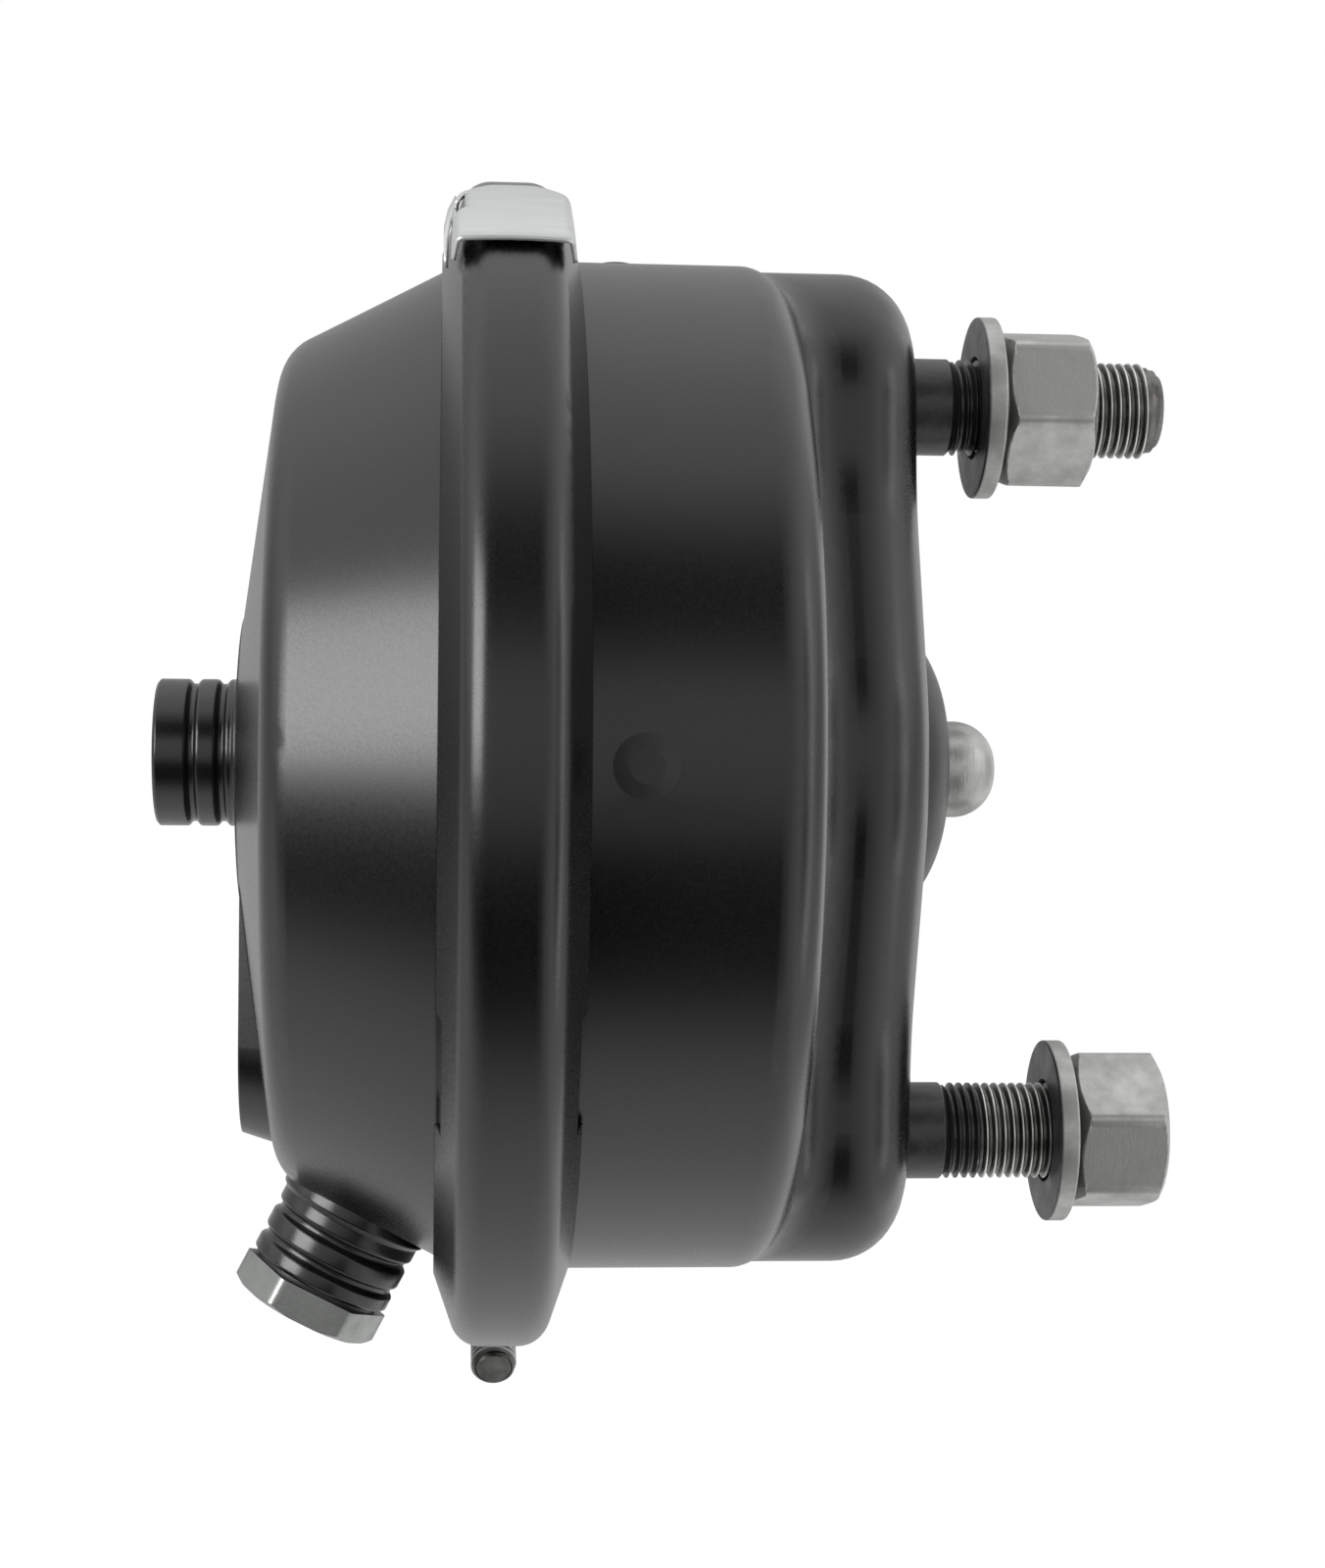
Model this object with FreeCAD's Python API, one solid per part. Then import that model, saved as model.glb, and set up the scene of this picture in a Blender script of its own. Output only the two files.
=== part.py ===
"""Air brake chamber for a disc brake caliper, 22 square inches of diaphragm.

The axis of the chamber is X. The mounting face is the plane X = 0 and +X
points out of it, towards the caliper. +Z is up and the two studs stand above
and below the axis. Millimetres.
"""
import FreeCAD
import Part
import math
import os

Vector = FreeCAD.Vector
AXIS_X = Vector(1, 0, 0)
ORIGIN = Vector(0, 0, 0)

# Studs of the mounting, the pattern that the caliper fixes
STUD_PITCH = 120.65
STUD_Z = STUD_PITCH / 2

# Sheet and shells
WALL = 3.0                  # sheet of both shells
BEND_R = 0.8                # hollow side of the bend to the flanges
STUD_TO_SIDE = 21.475       # from a stud's axis to the side of the housing
HOUSING_R = STUD_Z + STUD_TO_SIDE
HOUSING_DEPTH = 66.0        # from the middle of the clamp band to the mounting face
PLATFORM_HEIGHT = 20.5      # mounting face over the end wall of the housing
SHOULDER_R = 7.0            # rounding between the side and the end wall
END_WALL_DISH = 2.0         # how far the end wall falls back at the side

# Stud platform, a raised oblong with lobes at its ends
RETAINER_R = 27.5           # ring inside it that holds the seal of the push rod
PLATFORM_WEB = 12.5         # from the ring to its side
PLATFORM_HALF_MID = RETAINER_R + PLATFORM_WEB
PLATFORM_HALF_STUD = 25.5   # half width at its foot, beside the studs
PLATFORM_MID_Z = 9.0        # half height of the wide stretch
PLATFORM_LOBE = 14.3        # from a stud's axis back to where its lobe begins
PLATFORM_SIDE_R = 45.0      # rounding of the wide stretch
PLATFORM_NECK_R = 35.0      # hollow rounding towards the lobes
PLATFORM_END_GAP = 0.3      # lobe ends stand this much inside the housing side
PLATFORM_LOBE_R = 24.0      # round ends of the lobes
PLATFORM_EDGE_R = 11.3      # rounding to the mounting face
PLATFORM_FOOT_R = 8.5       # hollow rounding from its sides to the end wall
PLATFORM_ROOT = 10.5        # how far it starts inside the round part
PLATFORM_NECK_Z = STUD_Z - PLATFORM_LOBE

# Drain holes
DRAIN_FROM_BAND = 18.0      # from the middle of the clamp band
DRAIN_R = 3.6
PLUG_HEAD_OVER = 1.0        # head past the edge of the hole
PLUG_HEAD_H = 1.0
PLUG_HEAD_CROWN = 0.7       # flat middle of the head, as a share of the stem
PLUG_HEAD_RIM = 0.4         # height of the head's edge, as a share of its height
PLUG_LIP_OVER = 0.8
PLUG_LIP_H = 1.2
PLUG_LIP_ROOM = 0.5         # the wall's curve under the lip
PLUG_LIP_TAPER = 0.6
SOFT_GAP = 0.1              # rubber beside steel of the same body

# Clamp joint
FLANGE_REACH = 8.6          # flanges past the side of the housing
FLANGE_ANGLE = 19.5         # degrees, slope of the flanks from the radial direction
BEAD_HALF = 2.3             # half of the room between the rims of the flanges
BAND_HEAD_ROOM = 1.6        # rim of the flanges to the band
BAND_T = 2.0
BAND_CORNER_R = 5.0
BAND_GAP = 0.1              # band to flange
SKIRT_GAP = 0.7             # inner edge of the skirts over the side of the housing
CUTBACK = 2.4               # depth of the shallow stretches of the skirts
CUTBACK_FROM_ANGLE = 24.5   # degrees below the level of the axis
CUTBACK_TO_ANGLE = 38.0     # degrees
SPLIT_ANGLE = 28.0          # split of the band, degrees behind the bottom
SPLIT_WIDTH = 9.0
LUG_T = 3.0
LUG_HALF = 8.0
LUG_REACH = 16.0            # over the band
LUG_CORNER = 0.6            # rounding of the lug's corners, as a share of its half width
BOLT_RISE = 8.0             # axis of the bolt over the band
BOLT_R = 4.0
BOLT_CHAMFER = 1.0
BOLT_LENGTH = 38.0
BOLT_HEAD_AF = 13.0
BOLT_HEAD_H = 5.3
BOLT_NUT_H = 6.5
BOLT_HOLE_GAP = 0.3

SLOPE = math.tan(math.radians(FLANGE_ANGLE))
FLANK_COS = math.cos(math.radians(FLANGE_ANGLE))
FLANGE_R = HOUSING_R + FLANGE_REACH
BAND_R = FLANGE_R + BAND_HEAD_ROOM + BAND_T
BAND_SKIRT_R = HOUSING_R + SKIRT_GAP
BAND_HALF = BEAD_HALF + (WALL + BAND_GAP + BAND_T) / FLANK_COS + (FLANGE_R - BAND_SKIRT_R) * SLOPE
LUG_TOP_R = BAND_R + LUG_REACH
BOLT_CENTRE_R = BAND_R + BOLT_RISE

# Label clip on the band
CLIP_T = 0.8
CLIP_FROM_ANGLE = 50.5      # degrees above the level of the axis, near side
CLIP_TO_ANGLE = 67.5        # degrees
CLIP_GAP = 0.1
CLIP_DEPTH = 8.5            # how far its flanges hook down the flanks

# Pressure cap
CAP_STEP = 2.1              # side of the cap inside the side of the housing
CAP_R = HOUSING_R - CAP_STEP
CAP_DEPTH = 42.0            # from the middle of the band to the end plateau
CAP_SIDE_END = 10.4         # where the straight side ends, from the middle of the band
CAP_CONE_ANGLE = 27.4       # degrees
CAP_CONE_LENGTH = 24.8      # along the axis, to where the cone meets the end face
CAP_CORNER_X = CAP_SIDE_END + CAP_CONE_LENGTH
CAP_CORNER_R = 8.0
CAP_END_ANGLE = 8.8         # degrees, slope of the end face
CAP_SKIN_CORNER = 0.9       # hollow's corner behind the outer one, as a share of the wall
PAD_R = 24.0                # raised middle of the end face
PAD_EDGE = 2.2
PAD_STEM_HALF = 19.0        # pad that runs down from the middle
PAD_STEM_REST = 6.9         # from its end to the corner of the end face
PAD_CORNER = 0.8            # rounding of its corners, as a share of its half width
PAD_SKIN_TOP = 1.2          # hollow's top edge inside the outer one, as a share of the wall
PAD_FALL = 0.6              # stem pad under the middle

# Ports
PORT_R = 12.0
PORT_THREAD_R = 7.25        # root bore of the M16 x 1.5 thread
PORT_LENGTH = 14.0
PORT_RISE = 1.6             # centre port above the axis of the chamber
PORT_CHAMFER = 1.0
GROOVE_W = 1.5
GROOVE_DEPTH = 0.7
GROOVE_FIRST = 6.1          # middle of the first groove from the open end
GROOVE_STEP = 4.7           # on to the second
PORT_BORE_GAP = 0.6         # hole in the shell over the root bore
PORT_FLARE = 1.6            # weld at its foot
PORT_FOOT = 9.0             # blank under the foot, cut to the curve of the shell
INCLINED_X = -12.7          # foot of the inclined boss on the cone, from the band's skirt
INCLINED_LENGTH = 12.9
INCLINED_GROOVE_FIRST = 3.5
PLUG_AF = 22.0
PLUG_H = 4.4
PLUG_FLANGE_H = 0.8
PLUG_FLANGE_R = 11.6
PLUG_SHANK = 9.0
PLUG_TURN_ANGLE = 33.0      # degrees from a corner towards the side
SEAL_T = 0.8
SEAL_R = 10.6
THREAD_GAP = 0.05

# Studs, washers and nuts
STUD_R = 8.0                # plain shank on the mounting face
STUD_LENGTH = 43.0          # over the mounting face
STUD_SHANK = 8.0
STUD_THREAD_R = 7.85        # threaded stretch, modelled plain
STUD_DOG_R = 6.5
STUD_DOG = 2.6
STUD_CHAMFER = 1.2
STUD_NECK_R = 8.3           # pressed into the platform
STUD_HEAD_R = 12.0
STUD_HEAD_H = 4.5
PRESS_GAP = 0.05
WASHER_R = 15.0
WASHER_BORE_R = 8.5
WASHER_T = 4.0
NUT_AF = 24.0
NUT_H = 14.8
NUT_FACE = 0.95             # round face of a hexagon, as a share of its flats
NUT_CHAMFER_ANGLE = 30.0    # degrees
NUT_MOUTH = 1.0             # chamfer of the bore
NUT_GAP = 0.05              # running fit on the thread
SEAT_GAP = 0.05             # nut face to washer face
UPPER_WASHER_X = 11.9
LOWER_WASHER_BACK = 18.0    # from the stud's end back to the lower washer
LOWER_WASHER_X = STUD_LENGTH - LOWER_WASHER_BACK
UPPER_NUT_ANGLE = 9.0       # degrees
LOWER_NUT_ANGLE = -16.0     # degrees

# Reinforcing plate inside the platform
PLATE_T = 3.5
PLATE_GAP = 0.1
PLATE_INSET = 0.4           # plate's edge inside the flat of the platform

# Push rod and plate
ROD_R = 8.0
ROD_TIP_X = 15.9
ROD_TIP_ROUND = 0.85        # rounding of the tip, as a share of the rod's radius
PLATE_TO_SIDE = 22.7        # edge of the push plate inside the side of the cap
PUSH_PLATE_R = CAP_R - PLATE_TO_SIDE
PUSH_PLATE_T = 3.0
PUSH_PLATE_RIM = 6.0
PUSH_PLATE_BEND = 1.6       # rounding to the rim, as a share of the sheet
PLATE_EDGE_R = 1.0
PLATE_ROOT_R = 2.0
PUSH_PLATE_REST = 27.6      # rear face of the plate behind the band's middle, brake released
HUB_R = 15.0
HUB_H = 8.0
HUB_TAPER = 2.0

# Diaphragm
DIAPHRAGM_T = 3.0
DIAPHRAGM_GAP = 0.3         # rubber to the plate
DIAPHRAGM_SIDE_GAP = 1.0    # rubber to the cap
DIAPHRAGM_ROLL_R = 8.0      # where the side turns in
DIAPHRAGM_REAR_R = 7.0      # outside of the rear corner
DIAPHRAGM_BEAD_R = 2.0      # root of the bead
DIAPHRAGM_LEAN = 0.4        # cone's inner side from its outer one, as a share of the rubber
DIAPHRAGM_FRONT_IN = 0.6    # front corner inside the cone, as a share of the rubber

# Return spring, conical
SPRING_WIRE_R = 2.2
SPRING_SMALL_R = 27.0
SPRING_TURNS = 4.5
SPRING_LARGE_R = 33.0
SPRING_GAP = 0.5

# Seal, bellows and retaining ring at the mounting face
FACE_HOLE_IN = 3.5          # hole of the mounting face inside the retaining ring
SEAL_HOLE_GAP = 0.3
SEAL_DOME = 6.9             # height of the dome over the mounting face
SEAL_BULGE_IN = 4.7         # from the rim in to where the dome turns over
SEAL_BULGE_X = 5.5
SEAL_BULGE_ROUND = 21.0
SEAL_SKIN = 2.0
SEAL_TIP_BACK = 0.4         # mouth of the dome behind its top
RETAINER_T = 1.6
RETAINER_LAND = 7.5         # width of the ring
BELLOWS_IN = 1.0            # large folds inside the ring's bore
BELLOWS_DEEP = 0.5          # small folds below the middle of the room round the rod
BELLOWS_T = 1.2
BELLOWS_FOLDS = 7
BELLOWS_END = 14.0          # from the rear of the push plate to its collar
FACE_HOLE_R = RETAINER_R - FACE_HOLE_IN
SEAL_RIM_R = FACE_HOLE_R - SEAL_HOLE_GAP
SEAL_BULGE_R = SEAL_RIM_R - SEAL_BULGE_IN
RETAINER_BORE_R = RETAINER_R - RETAINER_LAND
BELLOWS_BIG_R = RETAINER_BORE_R - BELLOWS_IN
BELLOWS_SMALL_R = (ROD_R + BELLOWS_BIG_R) / 2 - BELLOWS_DEEP

BAND_X = -HOUSING_DEPTH
DRAIN_X = BAND_X + DRAIN_FROM_BAND
END_WALL_X = -PLATFORM_HEIGHT
CAP_END_X = BAND_X - CAP_DEPTH
PUSH_PLATE_X = BAND_X - PUSH_PLATE_REST


def arc_corner(before, corner, after, radius):
    """Tangent arc that rounds one corner, as its start, middle and end."""
    to_before = (before - corner).normalize()
    to_after = (after - corner).normalize()
    half = to_before.getAngle(to_after) / 2
    reach = radius / math.tan(half)
    middle_dir = (to_before + to_after).normalize()
    centre = corner + middle_dir * (radius / math.sin(half))
    start = corner + to_before * reach
    end = corner + to_after * reach
    middle = centre - middle_dir * radius
    return start, middle, end


def rounded_face(corners):
    """Flat face from corners (point, radius); radius 0 keeps a corner sharp."""
    count = len(corners)
    stops = []
    for i in range(count):
        corner, radius = corners[i]
        if radius > 0:
            before = corners[i - 1][0]
            after = corners[(i + 1) % count][0]
            stops.append(arc_corner(before, corner, after, radius))
        else:
            stops.append((corner, None, corner))
    edges = []
    for i in range(count):
        start, middle, end = stops[i]
        if middle is not None:
            edges.append(Part.Arc(start, middle, end).toShape())
        following = stops[(i + 1) % count][0]
        if end.distanceToPoint(following) > 1e-6:
            edges.append(Part.makeLine(end, following))
    return Part.Face(Part.Wire(edges))


def turned(corners):
    """Solid turned round X from corners (x, r) or (x, r, radius)."""
    placed = []
    for corner in corners:
        radius = corner[2] if len(corner) > 2 else 0
        placed.append((Vector(corner[0], 0, corner[1]), radius))
    return rounded_face(placed).revolve(ORIGIN, AXIS_X, 360)


def rod(radius, x_from, x_to, y=0, z=0):
    """Cylinder along X."""
    return Part.makeCylinder(radius, x_to - x_from, Vector(x_from, y, z), AXIS_X)


def around_x(shape, degrees):
    turned_shape = shape.copy()
    turned_shape.rotate(ORIGIN, AXIS_X, degrees)
    return turned_shape


def hexagon(across_flats, x_from, x_to):
    """Hexagonal prism along X with a corner towards -Y."""
    corner_r = across_flats / math.sqrt(3)
    points = []
    for i in range(7):
        angle = math.radians(60 * i)
        points.append(Vector(x_from, -corner_r * math.cos(angle), corner_r * math.sin(angle)))
    return Part.Face(Part.makePolygon(points)).extrude(Vector(x_to - x_from, 0, 0))


def chamfered_hexagon(across_flats, x_from, x_to, both_ends=True):
    """Hexagonal prism whose corners are turned off at its ends."""
    prism = hexagon(across_flats, x_from, x_to)
    corner_r = across_flats / math.sqrt(3)
    face_r = across_flats / 2 * NUT_FACE
    fall = (corner_r - face_r) * math.tan(math.radians(NUT_CHAMFER_ANGLE))
    start_r = face_r if both_ends else corner_r
    start_fall = fall if both_ends else 0
    trim = [(x_from, 0), (x_from, start_r)]
    if both_ends:
        trim.append((x_from + start_fall, corner_r))
    trim += [(x_to - fall, corner_r), (x_to, face_r), (x_to, 0)]
    return prism.common(turned(trim))


def band_outside(r):
    """Distance of the band's outer flank from its middle, at radius r."""
    return BAND_HALF - (r - BAND_SKIRT_R) * SLOPE


def band_inside(r):
    return band_outside(r) - BAND_T / FLANK_COS


def flange_outside(r):
    return band_inside(r) - BAND_GAP / FLANK_COS


def flange_inside(r):
    return flange_outside(r) - WALL / FLANK_COS


def platform_prism(inset, x_foot, x_top):
    """Prism with the outline of the stud platform, moved in by inset."""
    end_r = HOUSING_R - PLATFORM_END_GAP - inset
    mid = PLATFORM_HALF_MID - inset
    stud = PLATFORM_HALF_STUD - inset
    neck_z = PLATFORM_NECK_Z
    mid_z = PLATFORM_MID_Z
    side = PLATFORM_SIDE_R - inset
    neck = PLATFORM_NECK_R + inset
    lobe = PLATFORM_LOBE_R - inset
    half = [(stud, end_r, lobe), (stud, neck_z, neck), (mid, mid_z, side),
            (mid, -mid_z, side), (stud, -neck_z, neck), (stud, -end_r, lobe)]
    corners = [(Vector(x_foot, y, z), radius) for y, z, radius in half]
    corners += [(Vector(x_foot, -y, z), radius) for y, z, radius in reversed(half)]
    return rounded_face(corners).extrude(Vector(x_top - x_foot, 0, 0))


def platform(inset, x_foot, x_top):
    """Stud platform, or the hollow inside it where inset is the wall."""
    prism = platform_prism(inset, x_foot, x_top)
    top_edges = [edge for edge in prism.Edges if edge.BoundBox.XMin > x_top - 1e-3]
    return prism.makeFillet(PLATFORM_EDGE_R - inset, top_edges)


def housing_bowl(inset):
    """Round part of the housing, or its hollow where inset is the wall."""
    side_r = HOUSING_R - inset
    end_x = END_WALL_X - inset
    if inset:
        flank = flange_inside
        open_x = BAND_X
        tip_r = FLANGE_R + WALL
    else:
        flank = flange_outside
        open_x = BAND_X + flange_inside(FLANGE_R)
        tip_r = FLANGE_R
    tip_x = BAND_X + flank(tip_r)
    foot_x = BAND_X + flank(side_r)
    bend_r = BEND_R + inset
    return turned([(open_x, 0), (open_x, tip_r), (tip_x, tip_r), (foot_x, side_r, bend_r),
                   (end_x - END_WALL_DISH, side_r, SHOULDER_R - inset),
                   (end_x, PLATFORM_HALF_STUD), (end_x, 0)])


def drain_hole():
    return Part.makeCylinder(DRAIN_R, WALL * 4, Vector(DRAIN_X, 0, HOUSING_R - WALL * 2), Vector(0, 0, 1))


def housing_body(inset):
    """Bowl and platform in one, with the hollow rounding along the platform's foot."""
    foot_x = END_WALL_X - END_WALL_DISH - PLATFORM_ROOT
    body = housing_bowl(inset).fuse(platform(inset, foot_x, -inset)).removeSplitter()
    wall_x = END_WALL_X - inset
    foot_edges = []
    for edge in body.Edges:
        box = edge.BoundBox
        low_y = min(abs(box.YMin), abs(box.YMax))
        high_y = max(abs(box.YMin), abs(box.YMax))
        at_wall = box.XMin > wall_x - END_WALL_DISH * 1.75 and box.XMax < wall_x + PLATFORM_END_GAP * 2
        beside = low_y > PLATFORM_HALF_STUD * 0.6 and high_y < PLATFORM_HALF_MID * 1.12
        if at_wall and beside and edge.Length > WALL / 2:
            foot_edges.append(edge)
    return body.makeFillet(PLATFORM_FOOT_R + inset, foot_edges)


def make_housing():
    shell = housing_body(0).cut(housing_body(WALL))
    for quarter in range(4):
        shell = shell.cut(around_x(drain_hole(), 90 * quarter))
    shell = shell.cut(rod(FACE_HOLE_R, END_WALL_X, WALL))
    for side in (1, -1):
        shell = shell.cut(rod(STUD_NECK_R + PRESS_GAP, END_WALL_X, WALL, 0, side * STUD_Z))
    return shell.removeSplitter()


def make_drain_plug(degrees):
    """Rubber button: a low domed head outside and a lip inside the wall."""
    top = HOUSING_R + SOFT_GAP
    bottom = HOUSING_R - WALL - SOFT_GAP - PLUG_LIP_ROOM
    stem_r = DRAIN_R - SOFT_GAP
    lip_r = DRAIN_R + PLUG_LIP_OVER
    head_r = DRAIN_R + PLUG_HEAD_OVER
    lip_foot = bottom - PLUG_LIP_H
    head_top = top + PLUG_HEAD_H
    corners = [(0, lip_foot), (stem_r * PLUG_LIP_TAPER, lip_foot),
               (lip_r, lip_foot + PLUG_LIP_H * PLUG_LIP_TAPER),
               (lip_r, bottom), (stem_r, bottom), (stem_r, top), (head_r, top),
               (head_r, top + PLUG_HEAD_H * PLUG_HEAD_RIM), (stem_r * PLUG_HEAD_CROWN, head_top),
               (0, head_top)]
    points = [Vector(DRAIN_X + r, 0, z) for r, z in corners]
    face = Part.Face(Part.makePolygon(points + points[:1]))
    plug = face.revolve(Vector(DRAIN_X, 0, 0), Vector(0, 0, 1), 360)
    saddle = rod(HOUSING_R + SOFT_GAP / 2, DRAIN_X - head_r * 2, DRAIN_X + head_r * 2)
    core = Part.makeCylinder(stem_r, HOUSING_R * 2, Vector(DRAIN_X, 0, 0), Vector(0, 0, 1))
    head = plug.cut(saddle)
    stem = plug.common(core)
    lip_room = rod(HOUSING_R - WALL - SOFT_GAP, DRAIN_X - head_r * 2, DRAIN_X + head_r * 2)
    lip = plug.common(lip_room)
    return around_x(head.fuse([stem, lip]).removeSplitter(), degrees)


def cap_cone_r(depth):
    """Outer radius of the cap's cone at a distance behind the band's middle."""
    return CAP_R - (depth - CAP_SIDE_END) * math.tan(math.radians(CAP_CONE_ANGLE))


def cap_bowl(inset):
    """Round part of the cap, or its hollow where inset is the wall."""
    cone = math.radians(CAP_CONE_ANGLE)
    slope = math.tan(math.radians(CAP_END_ANGLE))
    side_r = CAP_R - inset
    bend = CAP_SIDE_END + inset * math.tan(cone / 2)
    corner = CAP_CORNER_X - inset * CAP_SKIN_CORNER
    corner_r = side_r - (corner - bend) * math.tan(cone)
    pad = corner + (corner_r - PAD_R) * slope
    if inset:
        flank = flange_inside
        open_x = BAND_X
        tip_r = FLANGE_R + WALL
    else:
        flank = flange_outside
        open_x = BAND_X - flange_inside(FLANGE_R)
        tip_r = FLANGE_R
    tip_x = BAND_X - flank(tip_r)
    foot_x = BAND_X - flank(side_r)
    bend_r = BEND_R + inset
    return turned([(open_x, 0), (open_x, tip_r), (tip_x, tip_r), (foot_x, side_r, bend_r),
                   (BAND_X - bend, side_r), (BAND_X - corner, corner_r, CAP_CORNER_R - inset),
                   (BAND_X - pad, PAD_R), (BAND_X - pad, 0)])


def cap_pad(inset, x_foot):
    """Raised middle of the end face with the pad that runs down from it."""
    end_x = CAP_END_X + inset
    skin = inset * PAD_SKIN_TOP
    stem_r = cap_cone_r(CAP_CORNER_X) - PAD_STEM_REST
    middle = turned([(x_foot, 0), (x_foot, PAD_R + PAD_EDGE - inset), (end_x, PAD_R - skin), (end_x, 0)])
    lower = stem_outline(x_foot, PAD_STEM_HALF + PAD_EDGE - inset, stem_r + PAD_EDGE - inset)
    upper = stem_outline(end_x + PAD_FALL, PAD_STEM_HALF - skin, stem_r - skin)
    stem = Part.makeLoft([lower, upper], True, True)
    return middle.fuse(stem)


def stem_outline(x, half, reach):
    """Outline of the pad that runs down, with its lower corners rounded."""
    corner_r = half * PAD_CORNER
    face = rounded_face([(Vector(x, -half, 0), 0), (Vector(x, -half, -reach), corner_r),
                         (Vector(x, half, -reach), corner_r), (Vector(x, half, 0), 0)])
    return face.OuterWire


def inclined_place(shape):
    """Move a boss built along -X from the origin to the lower cone."""
    depth = BAND_HALF - INCLINED_X
    foot_r = cap_cone_r(depth)
    placed = shape.copy()
    placed.rotate(ORIGIN, Vector(0, 1, 0), -(90 - CAP_CONE_ANGLE))
    placed.translate(Vector(BAND_X - depth, 0, -foot_r))
    return placed


def cap_outside():
    return cap_bowl(0).fuse(cap_pad(0, CAP_END_X + WALL * 2.5))


def make_pressure_cap():
    hollow = cap_bowl(WALL).fuse(cap_pad(WALL, CAP_END_X + WALL * 4))
    shell = cap_outside().cut(hollow)
    hole_r = PORT_THREAD_R + PORT_BORE_GAP
    shell = shell.cut(rod(hole_r, CAP_END_X - WALL, CAP_END_X + WALL * 2, 0, PORT_RISE))
    return shell.cut(inclined_place(rod(hole_r, -WALL, WALL * 3))).removeSplitter()


def boss_blank(length, groove_first):
    """Grooved port boss along -X, its foot past X = 0 and its open end outside."""
    corners = [(PORT_FOOT, PORT_THREAD_R), (PORT_FOOT, PORT_R + PORT_FLARE), (0, PORT_R + PORT_FLARE),
               (-PORT_FLARE, PORT_R)]
    for offset in (groove_first + GROOVE_STEP, groove_first):
        middle = offset - length
        corners += [(middle + GROOVE_W / 2, PORT_R), (middle + GROOVE_W / 2, PORT_R - GROOVE_DEPTH),
                    (middle - GROOVE_W / 2, PORT_R - GROOVE_DEPTH), (middle - GROOVE_W / 2, PORT_R)]
    corners += [(PORT_CHAMFER - length, PORT_R), (-length, PORT_R - PORT_CHAMFER),
                (-length, PORT_THREAD_R + PORT_CHAMFER), (PORT_CHAMFER - length, PORT_THREAD_R)]
    return turned(corners)


def make_port_boss_centre():
    boss = boss_blank(PORT_LENGTH, GROOVE_FIRST)
    boss.translate(Vector(CAP_END_X, 0, PORT_RISE))
    return boss.cut(cap_outside())


def make_port_boss_inclined():
    boss = boss_blank(INCLINED_LENGTH, INCLINED_GROOVE_FIRST)
    return inclined_place(boss).cut(cap_outside())


def make_plug_seal():
    bore_r = PORT_THREAD_R + THREAD_GAP
    seal = turned([(-INCLINED_LENGTH - SEAL_T, bore_r), (-INCLINED_LENGTH - SEAL_T, SEAL_R),
                   (-INCLINED_LENGTH, SEAL_R), (-INCLINED_LENGTH, bore_r)])
    return inclined_place(seal)


def make_port_plug():
    """Hex head screw plug with a pressed flange and a short hollow shank."""
    under = -INCLINED_LENGTH - SEAL_T
    head = chamfered_hexagon(PLUG_AF, -(PLUG_H + PLUG_FLANGE_H), -PLUG_FLANGE_H)
    head.translate(Vector(under, 0, 0))
    flange = rod(PLUG_FLANGE_R, under - PLUG_FLANGE_H, under)
    shank_r = PORT_THREAD_R - THREAD_GAP
    shank = turned([(under, 0), (under, shank_r), (under + PLUG_SHANK - PORT_CHAMFER, shank_r),
                    (under + PLUG_SHANK, shank_r - PORT_CHAMFER), (under + PLUG_SHANK, 0)])
    plug = around_x(head, PLUG_TURN_ANGLE).fuse([flange, shank])
    return inclined_place(plug.removeSplitter())


def make_clamp_band():
    """V section ring, split behind the bottom, with a lug on each end."""
    outer = [(BAND_X - BAND_HALF, BAND_SKIRT_R), (BAND_X - band_outside(BAND_R), BAND_R, BAND_CORNER_R),
             (BAND_X + band_outside(BAND_R), BAND_R, BAND_CORNER_R), (BAND_X + BAND_HALF, BAND_SKIRT_R)]
    inner_r = BAND_R - BAND_T
    inner = [(BAND_X + band_inside(BAND_SKIRT_R), BAND_SKIRT_R),
             (BAND_X + band_inside(inner_r), inner_r, BAND_CORNER_R - BAND_T),
             (BAND_X - band_inside(inner_r), inner_r, BAND_CORNER_R - BAND_T),
             (BAND_X - band_inside(BAND_SKIRT_R), BAND_SKIRT_R)]
    ring = turned(outer + inner)
    for mirror in (1, -1):
        ring = ring.cut(skirt_cutback(mirror))
    gap_corner = Vector(BAND_X - BAND_HALF * 1.5, -SPLIT_WIDTH / 2, -BAND_R * 1.3)
    gap = Part.makeBox(BAND_HALF * 3, SPLIT_WIDTH, BAND_R, gap_corner)
    ring = ring.cut(around_x(gap, SPLIT_ANGLE))
    lugs = [band_lug(1), band_lug(-1)]
    return ring.fuse(lugs).removeSplitter()


def skirt_cutback(mirror):
    """Shallow stretch of both skirts, removed from the ring on one side."""
    shallow_r = BAND_SKIRT_R + CUTBACK
    low_r = BAND_SKIRT_R - CUTBACK
    sector = turned([(BAND_X - BAND_HALF * 1.5, low_r), (BAND_X - BAND_HALF * 1.5, shallow_r),
                     (BAND_X + BAND_HALF * 1.5, shallow_r), (BAND_X + BAND_HALF * 1.5, low_r)])
    wedge = sector_prism(CUTBACK_FROM_ANGLE, CUTBACK_TO_ANGLE, mirror)
    return sector.common(wedge)


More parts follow.
